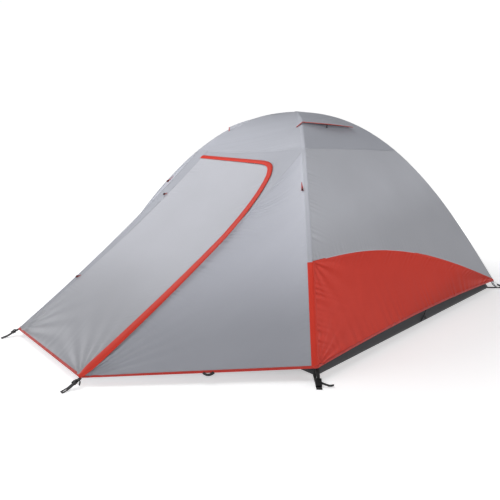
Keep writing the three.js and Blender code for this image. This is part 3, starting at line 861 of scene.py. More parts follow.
def fly_roof():
    """The roof: its four sides in one ring, with the two vents' openings left out and a tape on each seam."""
    s, t = np.meshgrid(np.linspace(-1, 1, 117)[:-1], spread(76), indexing="xy")
    sides = [turned(roof_side(s, t, quarter % 2 == 1), quarter) for quarter in range(4)]
    ring = np.concatenate(sides, axis=1)
    ring = np.concatenate([ring, ring[:, :1]], axis=1)
    points = puckered(ring, [("bottom", 0.0007, 0.030, 0.045, 0.2)], swell=0.0012, seed=0.7)
    middle = (points[:-1, :-1] + points[1:, 1:]) / 2
    high = (middle[..., 2] > VENT_LOW) & (middle[..., 2] < VENT_HIGH)
    window = high & (np.abs(middle[..., 1]) < VENT_HALF) & (np.abs(middle[..., 0]) > 0.2)
    cloth(
        "fly_roof_cloth", points, FLY, "tent", ["fly_roof"],
        keep=~window,
    )
    for number, end in enumerate(("right", "left")):
        vent_window(end, 2 * number)
    for quarter in range(4):
        path = turned(roof_side(np.linspace(-1, 1, 120), np.zeros(120), quarter % 2 == 1), quarter)
        nearby = turned(roof_side(np.linspace(-1, 1, 120), np.full(120, 0.02), quarter % 2 == 1), quarter)
        normal = unit(np.cross(unit(np.gradient(path, axis=0)), nearby - path))
        place = ("right", "back", "left", "front")[quarter]
        seam_tape(f"fly_roof_seam_{place}", path, normal, 0.009, 0.0014, FLY, "tent")


def vent_window(end, quarters):
    """Dark net behind the opening in the roof, and a bound edge round it."""
    y = np.linspace(-VENT_HALF - 0.01, VENT_HALF + 0.01, 60)
    y, z = np.meshgrid(y, np.linspace(VENT_LOW - 0.008, VENT_HIGH + 0.008, 14))
    inner = end_face(y / fly_reach(z), z) - np.array([0.0022, 0, 0.0])
    cloth(f"{end}_vent_net", turned(inner, quarters), DARK_NET, "tent", thick=0.0005)
    corners = [(-VENT_HALF, VENT_LOW), (VENT_HALF, VENT_LOW), (VENT_HALF, VENT_HIGH), (-VENT_HALF, VENT_HIGH)]
    for number, (start, stop) in enumerate(zip(corners, corners[1:] + corners[:1])):
        y = np.linspace(start[0], stop[0], 30)
        z = np.linspace(start[1], stop[1], 30)
        path = turned(end_face(y / fly_reach(z), z), quarters)
        normal = turned(np.broadcast_to(unit(np.array([0.62, 0, 0.78])), (30, 3)), quarters)
        seam_tape(f"{end}_vent_edge_{number + 1}", path, normal, 0.014, 0.0016, FLY, "tent")


def end_cloth(low, high, columns, rows):
    """The part of the right end between two edges, each a height for every share across."""
    s, t = np.meshgrid(np.linspace(-1, 1, columns), spread(rows), indexing="xy")
    return end_face(s, mix(low(s), high(s), t))


def broad_fold(points, start, stop, lift, width):
    """A wide, soft fold along the line from start to stop, as (y, z): lift * exp(-far / 0.16), with a quarter
    of it taken off beyond width, and less towards its two ends, the legs and the roof's seam."""
    (y0, z0), (y1, z1) = start, stop
    length = math.hypot(y1 - y0, z1 - z0)
    far = ((points[..., 2] - z0) * (y1 - y0) - (points[..., 1] - y0) * (z1 - z0)) / length
    along = ((points[..., 1] - y0) * (y1 - y0) + (points[..., 2] - z0) * (z1 - z0)) / length**2
    height = lift * np.exp(-np.abs(far) / 0.16) * (
        1 - np.clip(np.abs(2 * along - 1) - 0.6, 0, 1) / 0.9
    ).clip(0, 1)
    height = height * (1 - np.exp(-((far / width) ** 2)) * 0.25)
    s = points[..., 1] / np.maximum(fly_reach(points[..., 2]), 1e-6)
    hold = np.clip((1 - s**2) * 3, 0, 1) * fade(points[..., 2], SEAM_Z, SEAM_Z - 0.12)
    return points + grid_normals(points) * (height * hold)[..., None]


def fly_end(end, quarters):
    """One end: grey cloth over the red skirt, gathered along every edge, with folds that fan out from the
    skirt's corners, a tape on the seam between them, a hem tape and the skirt's selvedges."""
    upper = end_cloth(skirt_top, end_seam, 280, 99)
    upper = broad_fold(upper, (-0.62, 0.52), (0.30, 0.80), 0.012, 0.05)
    edges = [
        ("left", 0.0028, 0.026, 0.060, 0.5),
        ("right", 0.0022, 0.026, 0.050, 0.5),
        ("bottom", 0.0014, 0.030, 0.040, 0.3),
        ("top", 0.0009, 0.034, 0.040, 0.0),
    ]
    points = turned(puckered(upper, edges, swell=0.0022, seed=1.9), quarters)
    cloth(f"{end}_end_cloth", points, END, "tent", [f"{end}_end_panel"])
    skirt = end_cloth(end_hem, skirt_top, 280, 81)
    edges = [
        ("left", 0.0042, 0.030, 0.060, 0.5),
        ("right", 0.0014, 0.024, 0.050, 0.5),
        ("top", 0.0020, 0.034, 0.050, 0.8),
        ("bottom", 0.0024, 0.060, 0.080, 0.5),
    ]
    fans = [(0, -1, 0.0052, 30, 0.26), (-1, 0, 0.0040, 18, 0.14), (0, 0, 0.0045, 16, 0.18)]
    gathered = puckered(skirt, edges, fans, swell=0.0022, seed=3.1)
    points = turned(gathered, quarters)
    cloth(
        f"{end}_skirt_cloth", points, RED, "tent", [f"{end}_end_skirt"],
    )
    edge_tape(f"{end}_skirt_hem", points, "bottom", HEM_TAPE, "tent", RED_TAPE)
    path, normal, _ = border(turned(skirt, quarters), "top")
    seam_tape(f"{end}_skirt_seam", path, normal, 0.008, 0.0014, RED, "tent", "red_cloth")
    for corner, edge in (("front", "left"), ("back", "right")):
        path, normal, inward = border(turned(skirt, quarters), edge)
        side = unit(inward)
        name = f"{end}_skirt_selvedge_{corner}"
        band(name, path + side * 0.007 + normal * 0.001, side, normal, 0.013, 0.0014, RED, "tent")


# ---- Fly: vent hoods ----
HOOD_TOP = 1.244


def hood_lip(c):
    """The lip from the front leg at c = 0 to its far end at 1. Its middle stands proudest of the roof."""
    x = mix(0.346, 0.362, c) + 0.020 * 4 * c * (1 - c)
    return xyz(x, mix(-0.345, 0.180, c), mix(1.192, 1.182, c))


def vent_hood(end, quarters, way):
    """A bowed sheet from its seam on the roof down to a stiff bound lip, folded round the front leg."""
    c, t = np.meshgrid(np.linspace(-0.10, 1, 90), spread(24), indexing="xy")
    share = np.clip(c, 0, 1)
    reach = float(fly_reach(HOOD_TOP)) + 0.0015
    top = xyz(reach - 0.006, mix(-reach, 0.5 * reach, share), HOOD_TOP + 0.002)
    lip = hood_lip(share)
    bulge = (0.010 * np.sin(np.pi * t) * (0.4 + 0.6 * np.sin(np.pi * share)))[..., None]
    sheet = mix(lip, top, t[..., None]) + bulge * unit(np.array([0.45, 0, 0.9]))
    around = np.clip(-c / 0.10, 0, 1)[..., None]
    sheet = sheet + around * (mix(xyz(-0.028, -0.026, -0.030), xyz(-0.020, 0.0, -0.004), t[..., None]))
    sheet[..., 1] *= way
    if way < 0:
        sheet = sheet[:, ::-1]
    points = turned(sheet, quarters)
    cloth(f"{end}_hood_cloth", points, FLY, f"{end}_hood", [f"{end}_vent_hood"])
    edge_tape(f"{end}_hood_lip", points, "bottom", 0.0065, f"{end}_hood", RED_TAPE, thick=0.0022)


# ---- Fly: porch ----
def beside(line, gap):
    """A line of (x, v) moved sideways: outwards, up or to the right of the zip, where gap is positive."""
    ahead = unit(np.gradient(line, axis=0))
    return line + gap * np.stack([ahead[:, 1], -ahead[:, 0]], -1)


def resampled(line, count):
    """The same line as this many evenly parted points."""
    run = travel(line[:, None], 0).ravel()
    even = np.linspace(0, run[-1], count)
    return np.stack([np.interp(even, run, line[:, i]) for i in range(line.shape[1])], -1)


def coons(bottom, top, left, right):
    """A patch between four edges: the two ruled sheets added, less the sheet between the corners."""
    u = np.linspace(0, 1, len(bottom))[None, :, None]
    v = np.linspace(0, 1, len(left))[:, None, None]
    ruled = (1 - v) * bottom[None] + v * top[None] + (1 - u) * left[:, None] + u * right[:, None]
    flat = (1 - u) * (1 - v) * bottom[0] + u * (1 - v) * bottom[-1] + (1 - u) * v * top[0] + u * v * top[-1]
    return ruled - flat


def on_slope(line, out=0.0):
    """A line or grid of (x, v) as points on the slope, out from it."""
    return slope(line[..., 0], line[..., 1], out)


def door_cloth(columns=130, rows=300):
    """The door: a patch between the zip over and beside it, the hem and the straight hinge, gathered by its
    stitching, with folds from its two lower corners."""
    line = beside(zip_line(900), -ZIP_SIDE)
    line[:, 1] = np.minimum(line[:, 1], SLOPE_LENGTH)
    split = int(ZIP_SPLIT * 900)
    top = resampled(line[: split + 1], columns)
    right = resampled(line[split:][::-1], rows)
    left = np.stack([np.full(rows, HINGE_X), np.linspace(SLOPE_LENGTH, top[0, 1], rows)], -1)
    top[0, 0] = HINGE_X
    bottom = np.stack([np.linspace(HINGE_X, right[0, 0], columns), np.full(columns, SLOPE_LENGTH)], -1)
    points = on_slope(coons(bottom, top, left, right))
    edges = [
        ("right", 0.0026, 0.028, 0.070, 0.7),
        ("top", 0.0020, 0.028, 0.055, 0.4),
        ("left", 0.0012, 0.032, 0.045, 0.0),
        ("bottom", 0.0026, 0.055, 0.100, 0.3),
    ]
    fans = [(0, 0, 0.0060, 18, 0.22), (0, -1, 0.0055, 20, 0.22)]
    return puckered(points, edges, fans, swell=0.0034, seed=0.4)


def fade(x, start, stop):
    """Rises smoothly from 0 at start to 1 at stop, or falls where start is the greater."""
    t = np.clip((x - start) / (stop - start), 0, 1)
    return t * t * (3 - 2 * t)


def eased_ridge(v, far, on_gusset):
    """How far cloth at a distance from the ridge, over the zip's shoulder, is drawn in along the bisector, so
    that the front turns into the gusset in a round fold. With m the tangent of half the turn, and R and S the
    fold's reach on its two sides: m * R * S / (R + S) * (1 - far / reach)^2."""
    z = np.minimum(SEAM_Z - (SEAM_Z - HEM_Z) * v / SLOPE_LENGTH, SEAM_Z - 0.03)
    up = unit(ridge(z + 0.01) - ridge(z - 0.01))
    beyond = unit(np.cross(leg(z) - ridge(z), up))
    cosine = np.clip((beyond * OUT).sum(-1), -1, 1)
    slack = np.sqrt((1 - cosine) / (1 + cosine))
    line = zip_line(900)[int(ZIP_SPLIT * 900) :]
    room = ridge_x(v) - np.interp(v, line[:, 1], line[:, 0])
    front_reach = np.clip(0.8 * np.where(v < 0.14, 0.2, room), 0.004, 0.110)
    exact = SEAM_Z - (SEAM_Z - HEM_Z) * v / SLOPE_LENGTH
    gusset_reach = np.clip(0.85 * np.linalg.norm(leg(exact) - ridge(exact), axis=-1), 0.002, 0.110)
    height = slack * front_reach * gusset_reach / (front_reach + gusset_reach)
    reach = gusset_reach if on_gusset else front_reach
    amount = height * np.clip(1 - far / reach, 0, None) ** 2 * fade(v, 0.72, 0.52)
    return unit(beyond + OUT) * amount[..., None]


def surround_cloth():
    """The strip over the door and down its far shoulder: rows go from the zip out to the roof's seam and
    the ridge, and columns follow the zip to where it meets the ridge."""
    line = beside(zip_line(900), ZIP_SIDE)
    line[:, 0] = np.minimum(line[:, 0], ridge_x(line[:, 1]) - 0.0005)
    split, last = int(ZIP_SPLIT * 900), int(np.argmax(line[:, 1] > 0.74))
    inner = np.vstack([resampled(line[: split + 1], 150), resampled(line[split:last], 150)[1:]])
    inner[0, 0] = HINGE_X
    x = np.linspace(HINGE_X, SEAM_REACH, 150)
    seam = np.stack([x, seam_drop(x)], -1)
    v = np.linspace(0, line[last, 1], 150)
    shoulder = np.stack([ridge_x(v), v], -1)[1:]
    outer = np.vstack([seam, shoulder])
    t = np.linspace(0, 1, 30)[:, None, None]
    line = inner[None] * (1 - t) + outer[None] * t
    edges = [("bottom", 0.0016, 0.028, 0.040, 0.3), ("top", 0.0004, 0.030, 0.030, 0.0)]
    points = puckered(on_slope(line), edges, seed=2.2)
    return points - eased_ridge(line[..., 1], ridge_x(line[..., 1]) - line[..., 0], False)


def hinge_strip():
    """The strip between the hinge's seam and the left ridge, from the hem up to the roof's seam."""
    c, t = np.meshgrid(np.linspace(0, 1, 16), spread(260), indexing="xy")
    v_top = seam_drop(mix(-SEAM_REACH, HINGE_X, c))
    v = mix(SLOPE_LENGTH, v_top, t)
    x = mix(-ridge_x(v), HINGE_X, c)
    return puckered(slope(x, v), [("right", 0.0005, 0.034, 0.03, 0.0)], seed=1.1)


def gusset_sheet(c, z, beside_zip):
    """The right gusset at share c from the ridge to the leg and at height z: straight threads from one to the
    other, drawn in towards its middle. Beside the zip it starts a little way from the ridge."""
    near, far = ridge(z), leg(z)
    gap = np.linalg.norm(far - near, axis=-1, keepdims=True)
    opened = np.clip((ZIP_LEAVES_Z - z) / 0.03, 0, 1)[..., None] * (1.0 if beside_zip else 0.0)
    first = np.minimum(opened * ZIP_SIDE / np.maximum(gap, 1e-6), 1.0)
    share = np.clip(mix(first, 1.0, c[..., None]), 0, 1)
    t = np.clip((z - HEM_Z) / (SEAM_Z - HEM_Z), 0, 1)
    hang = GUSSET_SAG * 4 * c * (1 - c) * np.sin(np.pi * t**0.8)
    below = np.minimum(z, SEAM_Z - 0.03)
    inward = unit(np.cross(ridge(z + 0.01) - ridge(z - 0.01), leg(below) - ridge(below)))
    return mix(near, far, share) + inward * hang[..., None], gap[..., 0] * share[..., 0]


def gusset(beside_zip, rows=260, columns=95):
    """The right gusset with its ripples and the folds from its corner. Its columns stand closer
    together at both edges, where the ripples are: 45% an even step and 55% a cosine's."""
    share = np.linspace(0, 1, columns)
    share = mix(share, 0.5 - 0.5 * np.cos(np.pi * share), 0.55)
    c, t = np.meshgrid(share, spread(rows, 0.9), indexing="xy")
    z = mix(mix(HEM_Z, CORNER_HEM_Z, c), SEAM_Z, t)
    sheet, far = gusset_sheet(c, z, beside_zip)
    edges = [
        ("left", 0.0026, 0.028, 0.075, 0.8),
        ("right", 0.0022, 0.025, 0.045, 0.4),
        ("bottom", 0.0016, 0.050, 0.060, 0.3),
    ]
    points = puckered(sheet, edges, [(0, 0, 0.0050, 22, 0.22)], swell=0.0035, seed=2.6, under_seam=LEG_STRIP)
    if not beside_zip:
        return points
    return points - eased_ridge(SLOPE_LENGTH * (SEAM_Z - z) / (SEAM_Z - HEM_Z), far, True)


def porch(porch_name, quarters):
    """One porch: its cloths, the flap over the zip, the zip's two halves, the hem tapes and the seams.
    The flap is 33 mm wide, 8 mm more at its foot, where it rolls over the zip."""

    def place(points):
        """Points turned to this porch."""
        return turned(points, quarters)

    across = [tuple(place(slope(HINGE_X + reach, 0.7))) for reach in (-0.002, 0.11)]
    door_body = ("tent", f"{porch_name}_door", *across)
    door = place(door_cloth())
    cloth(
        f"{porch_name}_door_cloth", door, DOOR, door_body, [f"{porch_name}_door_panel"],
    )
    surround, strip = place(surround_cloth()), place(hinge_strip())
    stands = [f"{porch_name}_door_surround"]
    cloth(f"{porch_name}_surround_cloth", surround, FLY, "tent", stands)
    cloth(f"{porch_name}_hinge_strip", strip, FLY, "tent")
    right, left = gusset(True), mirrored(gusset(False))[:, ::-1]
    for name, sheet in (("right", right), ("left", left)):
        stands = [f"{porch_name}_gusset_{name}"]
        label = f"{porch_name}_gusset_cloth_{name}"
        cloth(label, place(sheet), GUSSET, "tent", stands)

    out = place(OUT[None])[0]
    line = zip_line(420)
    flap_path = place(on_slope(line, 0.0045))
    side = unit(np.cross(out, unit(np.gradient(flap_path, axis=0))))
    share = np.linspace(0, 1, 420)
    width = (0.033 + 0.008 * share**2) * fade(share, 1.035, 0.965)
    roll = (0.42 * fade(share, 0.35, 0.95))[:, None]
    flap_side = unit(side * np.cos(roll) - out * np.sin(roll))
    flap_up = unit(out * np.cos(roll) + side * np.sin(roll))
    flap_path = flap_path + side * (0.002 * share**2)[:, None]
    node = [f"{porch_name}_door_storm_flap"]
    flap = (flap_path, flap_side, flap_up, width)
    band(f"{porch_name}_storm_flap", *flap, 0.0012, RED, door_body, "red_cloth", 0.0035, nodes=node)
    for name, gap, body in (("door", -1, door_body), ("fixed", 1, "tent")):
        run = beside(line, gap * 0.0075)
        tape = place(on_slope(run, -0.0004))
        band(f"{porch_name}_zip_tape_{name}", tape, side, out, 0.012, 0.0010, ZIP_TAPE, body, "plastic")
        coil = place(on_slope(beside(line, gap * 0.0014), 0.0004))
        tube(f"{porch_name}_zip_coil_{name}", coil, 0.0013, ZIP_TAPE, body, 8)
    edge_tape(f"{porch_name}_door_hem", door, "bottom", HEM_TAPE, door_body, RED_TAPE)
    edge_tape(f"{porch_name}_hinge_strip_hem", strip, "bottom", HEM_TAPE, "tent", RED_TAPE)
    for name, sheet in (("right", right), ("left", left)):
        edge_tape(f"{porch_name}_gusset_hem_{name}", place(sheet), "bottom", HEM_TAPE, "tent", RED_TAPE)
    path, normal, _ = border(strip, "right")
    seam_tape(f"{porch_name}_hinge_seam", path, normal, 0.007, 0.0012, FLY, "tent")
    path, normal, inward = border(strip, "left")
    seam_tape(f"{porch_name}_ridge_seam_left", path + inward * 0.0055, normal, 0.008, 0.0010, FLY, "tent")


# ---- Fly: leg seams ----
def leg_strip(z):
    """The doubled cloth along a leg at heights z: a flat strip on the porch's side of the crease, laid on the
    roof, on the porch's slope or on the gusset, whichever is there."""
    across = LEG_STRIP * np.array([1.0, 0.97, 0.75, 0.5, 0.25, 0.03, 0.0])[None]
    lift = np.array([0.0, 0.0016, 0.0014, 0.0012, 0.0010, 0.0009, 0.0])[None]
    below = np.minimum(z, SEAM_Z)
    gap = np.linalg.norm(leg(below) - ridge(below), axis=-1)
    c = np.clip(1 - across / np.maximum(gap, 1e-6), 0, 1)
    on_gusset = gusset_sheet(c, below + 0 * c, False)[0] - xyz(np.clip(across - gap, 0, None), 0, 0)
    on_roof = turned(end_face(1 - across / np.maximum(fly_reach(z), 0.03), z + 0 * across), 3)
    points = np.where((z > SEAM_Z)[..., None], on_roof, on_gusset)
    return points + grid_normals(points) * lift[..., None]


def leg_seam(corner, quarters, flip):
    """The strip along one leg, in two lengths. The lower one is red where the red skirt's
    high end meets it."""
    low = np.linspace(CORNER_HEM_Z + 0.004, SKIRT_HIGH, 130)
    high = PEAK - (PEAK - SEAM_Z) * np.linspace(1, 0.06, 160)[1:] ** 2
    high = np.concatenate([np.linspace(SKIRT_HIGH, SEAM_Z, 150), high])
    for part, z, material in (("foot", low, FLY if flip else RED), ("top", high, FLY)):
        points = leg_strip(z[:, None])
        if flip:
            points = mirrored(points)[:, ::-1]
        points = turned(points, quarters)
        cloth(
            f"fly_leg_seam_{corner}_{part}", points, material, "tent",
            thick=0.0008,
        )


def guy_tab(name, place, along, out, length):
    """A narrow red triangle of folded webbing sewn down along a seam, with a black loop for a guy line at its
    lower end. along points up the seam."""
    along, out = unit(np.asarray(along, float)), unit(np.asarray(out, float))
    side = unit(np.cross(along, out))
    place = np.asarray(place, float) + out * 0.0015
    t = np.linspace(0, 1, 16)
    lift = 0.0035 + 0.008 * t**1.5
    for number, lean in enumerate((-1, 1)):
        path = place - along * (t * length)[:, None] + out * lift[:, None] + side * (
            lean * 0.0022 * t
        )[:, None]
        width = mix(0.0035, 0.0105, t)
        across = unit(side + lean * 0.9 * out)
        band(
            f"{name}_red_{number + 1}", path, across, unit(np.cross(across, along)), width, 0.0010,
            RED_TAPE, "tent",
        )
    turn = np.linspace(0, TAU, 28, endpoint=False)[:, None]
    middle = place - along * (0.86 * length) + out * 0.013
    ring = middle + out * (0.0050 * np.cos(turn)) + along * (0.0065 * np.sin(turn))
    tube(f"{name}_loop", ring, 0.0028, WEBBING, "tent", 8, closed=True)


def leg_tab(corner, quarters, flip):
    """The guy tab on one leg, just inside its strip."""
    rows = np.stack([leg(0.845) - np.array([0.044, 0.002, 0]), leg(0.88) - leg(0.78), [1.0, -1.0, 0.25]])
    place, rise, outward = turned(mirrored(rows) if flip else rows, quarters)
    guy_tab(f"guy_tab_{corner}", place, rise, outward, 0.062)


def hinge_tabs(porch_name, quarters):
    """The two small guy tabs on the hinge's seam, v down the slope."""
    for number, v in enumerate((0.46, 1.24)):
        seam, above = slope(HINGE_X - 0.004, v), slope(HINGE_X - 0.004, v - 0.05)
        rows = turned(np.stack([seam, above - seam, OUT]), quarters)
        guy_tab(f"{porch_name}_hinge_tab_{number + 1}", *rows, 0.028)


def mid_hem_loop(porch_name, quarters, side):
    """A flat loop of webbing sewn under the gusset's hem by its two ends, half way between the porch's corner
    and the leg. It hangs as a parabola: drop = 0.010 (1 - t^2)."""
    a, b = ridge(HEM_Z), leg(CORNER_HEM_Z)
    t = np.linspace(-1, 1, 24)[:, None]
    drop = 0.010 * (1 - t**2)
    path = mix(a, b, 0.535) + unit(b - a) * 0.024 * t + unit(np.array([0.25, -0.30, -0.9])) * drop
    path = path if side > 0 else mirrored(path)
    along, outward = unit(np.gradient(path, axis=0)), np.array([0.5 * side, -0.8, -0.25])
    up = unit(outward - along * np.sum(outward * along, axis=-1, keepdims=True))
    name = f"{porch_name}_mid_loop_{'right' if side > 0 else 'left'}"
    path, across, up = (turned(row, quarters) for row in (path, np.cross(up, along), up))
    band(name, path, across, up, 0.014, 0.0018, WEBBING, "tent", "webbing")


def hem_elastic(end, quarters):
    """A forked elastic from the middle of the end's hem down to the floor's edge."""
    hem = end_face(0.0, end_hem(0.0)) + np.array([-0.004, 0, 0.0])
    fork = np.array([FLOOR_HALF - 0.002, 0.004, 0.038])
    feet = [np.array([FLOOR_HALF + 0.001, y, 0.006]) for y in (-0.040, 0.034)]
    paths = [(hem, fork), (fork, feet[0]), (fork, feet[1])]
    for number, (start, stop) in enumerate(paths):
        path = mix(start, stop, np.linspace(0, 1, 10)[:, None])
        tube(f"{end}_hem_elastic_{number + 1}", turned(path, quarters), 0.0032, WEBBING, "tent", 8)


def vent_prop(end, quarters):
    """The folding prop under the hood's lip: a flat blade, waisted by 0.35 * sin(pi * t)."""
    low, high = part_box(f"{end}_vent_prop")
    y = (low.y + high.y) / 2
    way = 1 if quarters == 0 else -1
    x = way * np.array([abs(low.x), abs(high.x)]).mean()
    t = np.linspace(0, 1, 12)
    path = xyz(x, y, mix(low.z, high.z, t))
    width = 0.013 * (1 - 0.35 * np.sin(np.pi * t))
    across, out, node = np.array([0, 1.0, 0]), np.array([1.0, 0, 0]), [f"{end}_vent_prop"]
    band(f"{end}_prop_blade", path, across, out, width, 0.0028, PLASTIC, f"{end}_prop", "plastic", nodes=node)


# ---- Fly: zip slider ----
def zip_slider(porch_name, quarters):
    """The slider on the zip and its pull. Its body is two plates with a bridge over them."""
    start = ridge(HEM_Z + 0.085)
    along = unit(ridge(HEM_Z + 0.10) - start)
    start = start - np.array([0.0012, 0, 0]) + OUT * 0.0012
    side = unit(np.cross(along, OUT))
    t = np.linspace(-1, 1, 14)
    body = f"{porch_name}_slider"
    node = [f"{porch_name}_zip_slider"]
    flat = turned(side, quarters), turned(OUT, quarters)
    width = 0.0082 * (1 - 0.35 * np.abs(t) ** 3)
    for number, lift in enumerate((-0.0014, 0.0016)):
        path = start + along * (t * 0.0105)[:, None] + OUT * lift
        stands = node if number else ()
        name = f"{porch_name}_slider_plate_{number + 1}"
        band(name, turned(path, quarters), *flat, width, 0.0014, METAL, body, "plastic", nodes=stands)
    arc = np.linspace(0, np.pi, 12)[:, None]
    bridge = start + along * 0.0065 * np.cos(arc) + OUT * (0.0018 + 0.0022 * np.sin(arc))
    tube(f"{porch_name}_slider_bridge", turned(bridge, quarters), 0.0009, METAL, body, 8)
    pull = start - along * np.linspace(0.010, 0.038, 14)[:, None] + OUT * 0.0016
    width = 0.0066 * (1 - 0.3 * np.cos(np.linspace(0, TAU, 14)))
    pull = turned(pull, quarters)
    band(f"{porch_name}_slider_pull", pull, *flat, width, 0.0018, PLASTIC, body, "plastic")


# ---- Porch corners ----
def stake_strap(porch_name, side, quarters):
    """A webbing strap from the porch's corner down to the ground. It ends in a loop, and has a ladder-lock
    adjuster and a loose tail."""
    node = f"{porch_name}_stake_strap_{'right' if side > 0 else 'left'}"
    x, y = side * PORCH_HALF, -PORCH_REACH - 0.006
    out = -0.020 if side < 0 else 0.0
    line = smooth_path(
        [
            (x, y + 0.010, 0.038), (x + 0.3 * out, y - 0.016, 0.026), (x + 0.7 * out, y - 0.048, 0.0095),
            (x + out, y - 0.074, 0.0022),
        ],
        40,
    )
    normal = unit(np.cross(np.array([1.0, 0, 0]), unit(np.gradient(line, axis=0))))
    normal = normal * np.sign(normal[:, 2:])
    across = np.array([1.0, 0, 0])
    name = f"{porch_name}_strap_{'right' if side > 0 else 'left'}"

    def lay(part, path, up, width, thick, shift=0.0, nodes=(), material=WEBBING, crosswise=across):
        """A band of this strap, turned to its corner of the porch."""
        path, up = path + np.array([shift, 0, 0]), np.broadcast_to(up, path.shape)
        band(
            f"{name}_{part}", turned(path, quarters),
            turned(np.broadcast_to(crosswise, path.shape), quarters), turned(up, quarters), width, thick,
            material, "tent", "webbing", nodes=nodes,
        )

    lay("web", line[:32], normal[:32], 0.022, 0.0028, nodes=[node])
    lay("loop_left", line[30:], normal[30:], 0.0068, 0.0034, -0.0078)
    lay("loop_right", line[30:], normal[30:], 0.0068, 0.0034, 0.0078)
    end = np.array([[x + out - 0.0105, y - 0.0755, 0.0024], [x + out + 0.0105, y - 0.0755, 0.0024]])
    tip = mix(end[0], end[1], np.linspace(0, 1, 8)[:, None])
    lay("loop_end", tip, np.array([0, 0, 1.0]), 0.0060, 0.0032, crosswise=np.array([0, 1.0, 0]))
    buckle = line[10:17]
    for number, (shift, width) in enumerate(((-0.0125, 0.0040), (0.0125, 0.0040))):
        lay(
            f"lock_rail_{number + 1}", buckle + normal[10:17] * 0.0016, normal[10:17], width, 0.0068, shift,
            material=PLASTIC,
        )
    for number, index in enumerate((10, 13, 16)):
        bar = line[index] + normal[index] * 0.0024 + np.linspace(-0.0130, 0.0130, 6)[:, None] * across
        tube(f"{name}_lock_bar_{number + 1}", turned(bar, quarters), 0.0024, PLASTIC, "tent", 8)
    tail = smooth_path(
        [
            line[13] + normal[13] * 0.005, line[8] + normal[8] * 0.009 + np.array([side * 0.004, 0, 0]),
            line[3] + np.array([side * 0.014, -0.004, -0.002]),
            line[3] + np.array([side * 0.018, -0.010, -0.020]),
        ],
        24,
    )
    tail_normal = unit(np.cross(across, unit(np.gradient(tail, axis=0))))
    lay("tail", tail, tail_normal, 0.014, 0.0014)


# ---- Inner tent ----
def inner_reach(z):
    """How far the inner tent's corners stand from the middle, along x and along y, at height z."""
    return INNER_CORNER * arch(z, INNER_PEAK)


def inner_face(s, z, sag=0.006):
    """The inner tent's right side at share s across, drawn in as end_face is."""
    reach = inner_reach(z)
    q = np.clip(z / INNER_PEAK, 0, 1)
    return xyz(reach - sag * (1 - s**2) * 4 * q * (1 - q), s * reach, z)


def floor_tub():
    """The coated floor, turned up at its edges: flat, then round the edge, then up the tub's sides."""
    rim = float(inner_reach(TUB_TOP))
    step = np.concatenate([np.linspace(0.002, 0.995, 40), [0.998, 1.0], np.linspace(1, 0, 14)[1:]])
    height = np.concatenate([np.full(41, 0.0013), [0.0022], np.linspace(0.004, TUB_TOP, 14)[1:]])
    reach = np.concatenate([step[:42] * FLOOR_HALF, mix(FLOOR_HALF, rim, np.linspace(0, 1, 14)[1:])]) - 0.0006
    across = np.linspace(-1, 1, 61)[:-1]
    rings = []
    for quarter in range(4):
        side = xyz(reach[:, None], reach[:, None] * across[None], height[:, None])
        rings.append(turned(side, quarter))
    points = np.concatenate(rings, axis=1)
    points = np.concatenate([points, points[:, :1]], axis=1)
    wrinkle = 0.0007 * np.sin(23 * points[..., 0]) * np.sin(19 * points[..., 1])
    points[..., 2] += np.where(points[..., 2] < 0.002, np.abs(wrinkle), 0)
    cloth(
        "inner_floor", points[::-1], FLOOR_CLOTH, "tent", ["floor_tub"],
        thick=0.0010,
    )
    for quarter in range(4):
        s = np.linspace(-1, 1, 60)
        path = turned(inner_face(s, TUB_TOP - 0.001, 0.0), quarter) * np.array([1.0009, 1.0009, 1.0])
        normal = turned(np.broadcast_to(np.array([1.0, 0, 0]), (60, 3)), quarter)
        band(
            f"inner_floor_seam_{quarter + 1}", path, np.array([0, 0, 1.0]), normal, 0.010, 0.0012,
            FLOOR_CLOTH, "tent", "floor_cloth",
        )


def inner_wall(name, quarter, with_door):
    """One wall from the tub's rim to the net roof, with an opening where it has a door."""
    s, t = np.meshgrid(np.linspace(-1, 1, 130), spread(64), indexing="xy")
    z = mix(TUB_TOP, 0.900, t)
    edges = [
        ("bottom", 0.0012, 0.032, 0.05, 0.3),
        ("left", 0.0010, 0.03, 0.04, 0.4),
        ("right", 0.0010, 0.03, 0.04, 0.4),
    ]
    points = puckered(inner_face(s, z), edges, swell=0.002, seed=0.3 + quarter)
    middle = (points[:-1, :-1] + points[1:, 1:]) / 2
    keep = None
    if with_door:
        keep = ~((np.abs(middle[..., 1]) < 0.384) & (middle[..., 2] > 0.196) & (middle[..., 2] < 0.874))
    cloth(
        f"inner_wall_cloth_{name}", turned(points, quarter), INNER_CLOTH, "tent", [f"inner_wall_{name}"],
        keep=keep,
    )


def inner_roof():
    """The net roof, four sides in one ring with z = peak - rise * (1 - t)^2.1, and a tape up each leg."""
    s, t = np.meshgrid(np.linspace(-1, 1, 49)[:-1], spread(34), indexing="xy")
    z = INNER_PEAK - 0.0015 - (INNER_PEAK - 0.0015 - 0.901) * (1 - t) ** 2.1
    ring = np.concatenate([turned(inner_face(s, z), quarter) for quarter in range(4)], axis=1)
    ring = np.concatenate([ring, ring[:, :1]], axis=1)
    cloth(
        "inner_roof_mesh", ring, NET, "tent", ["inner_roof_net"],
        thick=0.0006,
    )
    for quarter in range(4):
        z = np.linspace(TUB_TOP, INNER_PEAK - 0.004, 130)
        reach = inner_reach(z)
        path = turned(xyz(reach, -reach, z) * np.array([1.002, 1.002, 1.0]), quarter)
        out = turned(np.broadcast_to(unit(np.array([0.7, -0.7, 0.25])), (130, 3)), quarter)
        seam_tape(
            f"inner_leg_seam_{quarter + 1}", path, out, 0.014, 0.0014, FLOOR_CLOTH, "tent", "inner_cloth"
        )


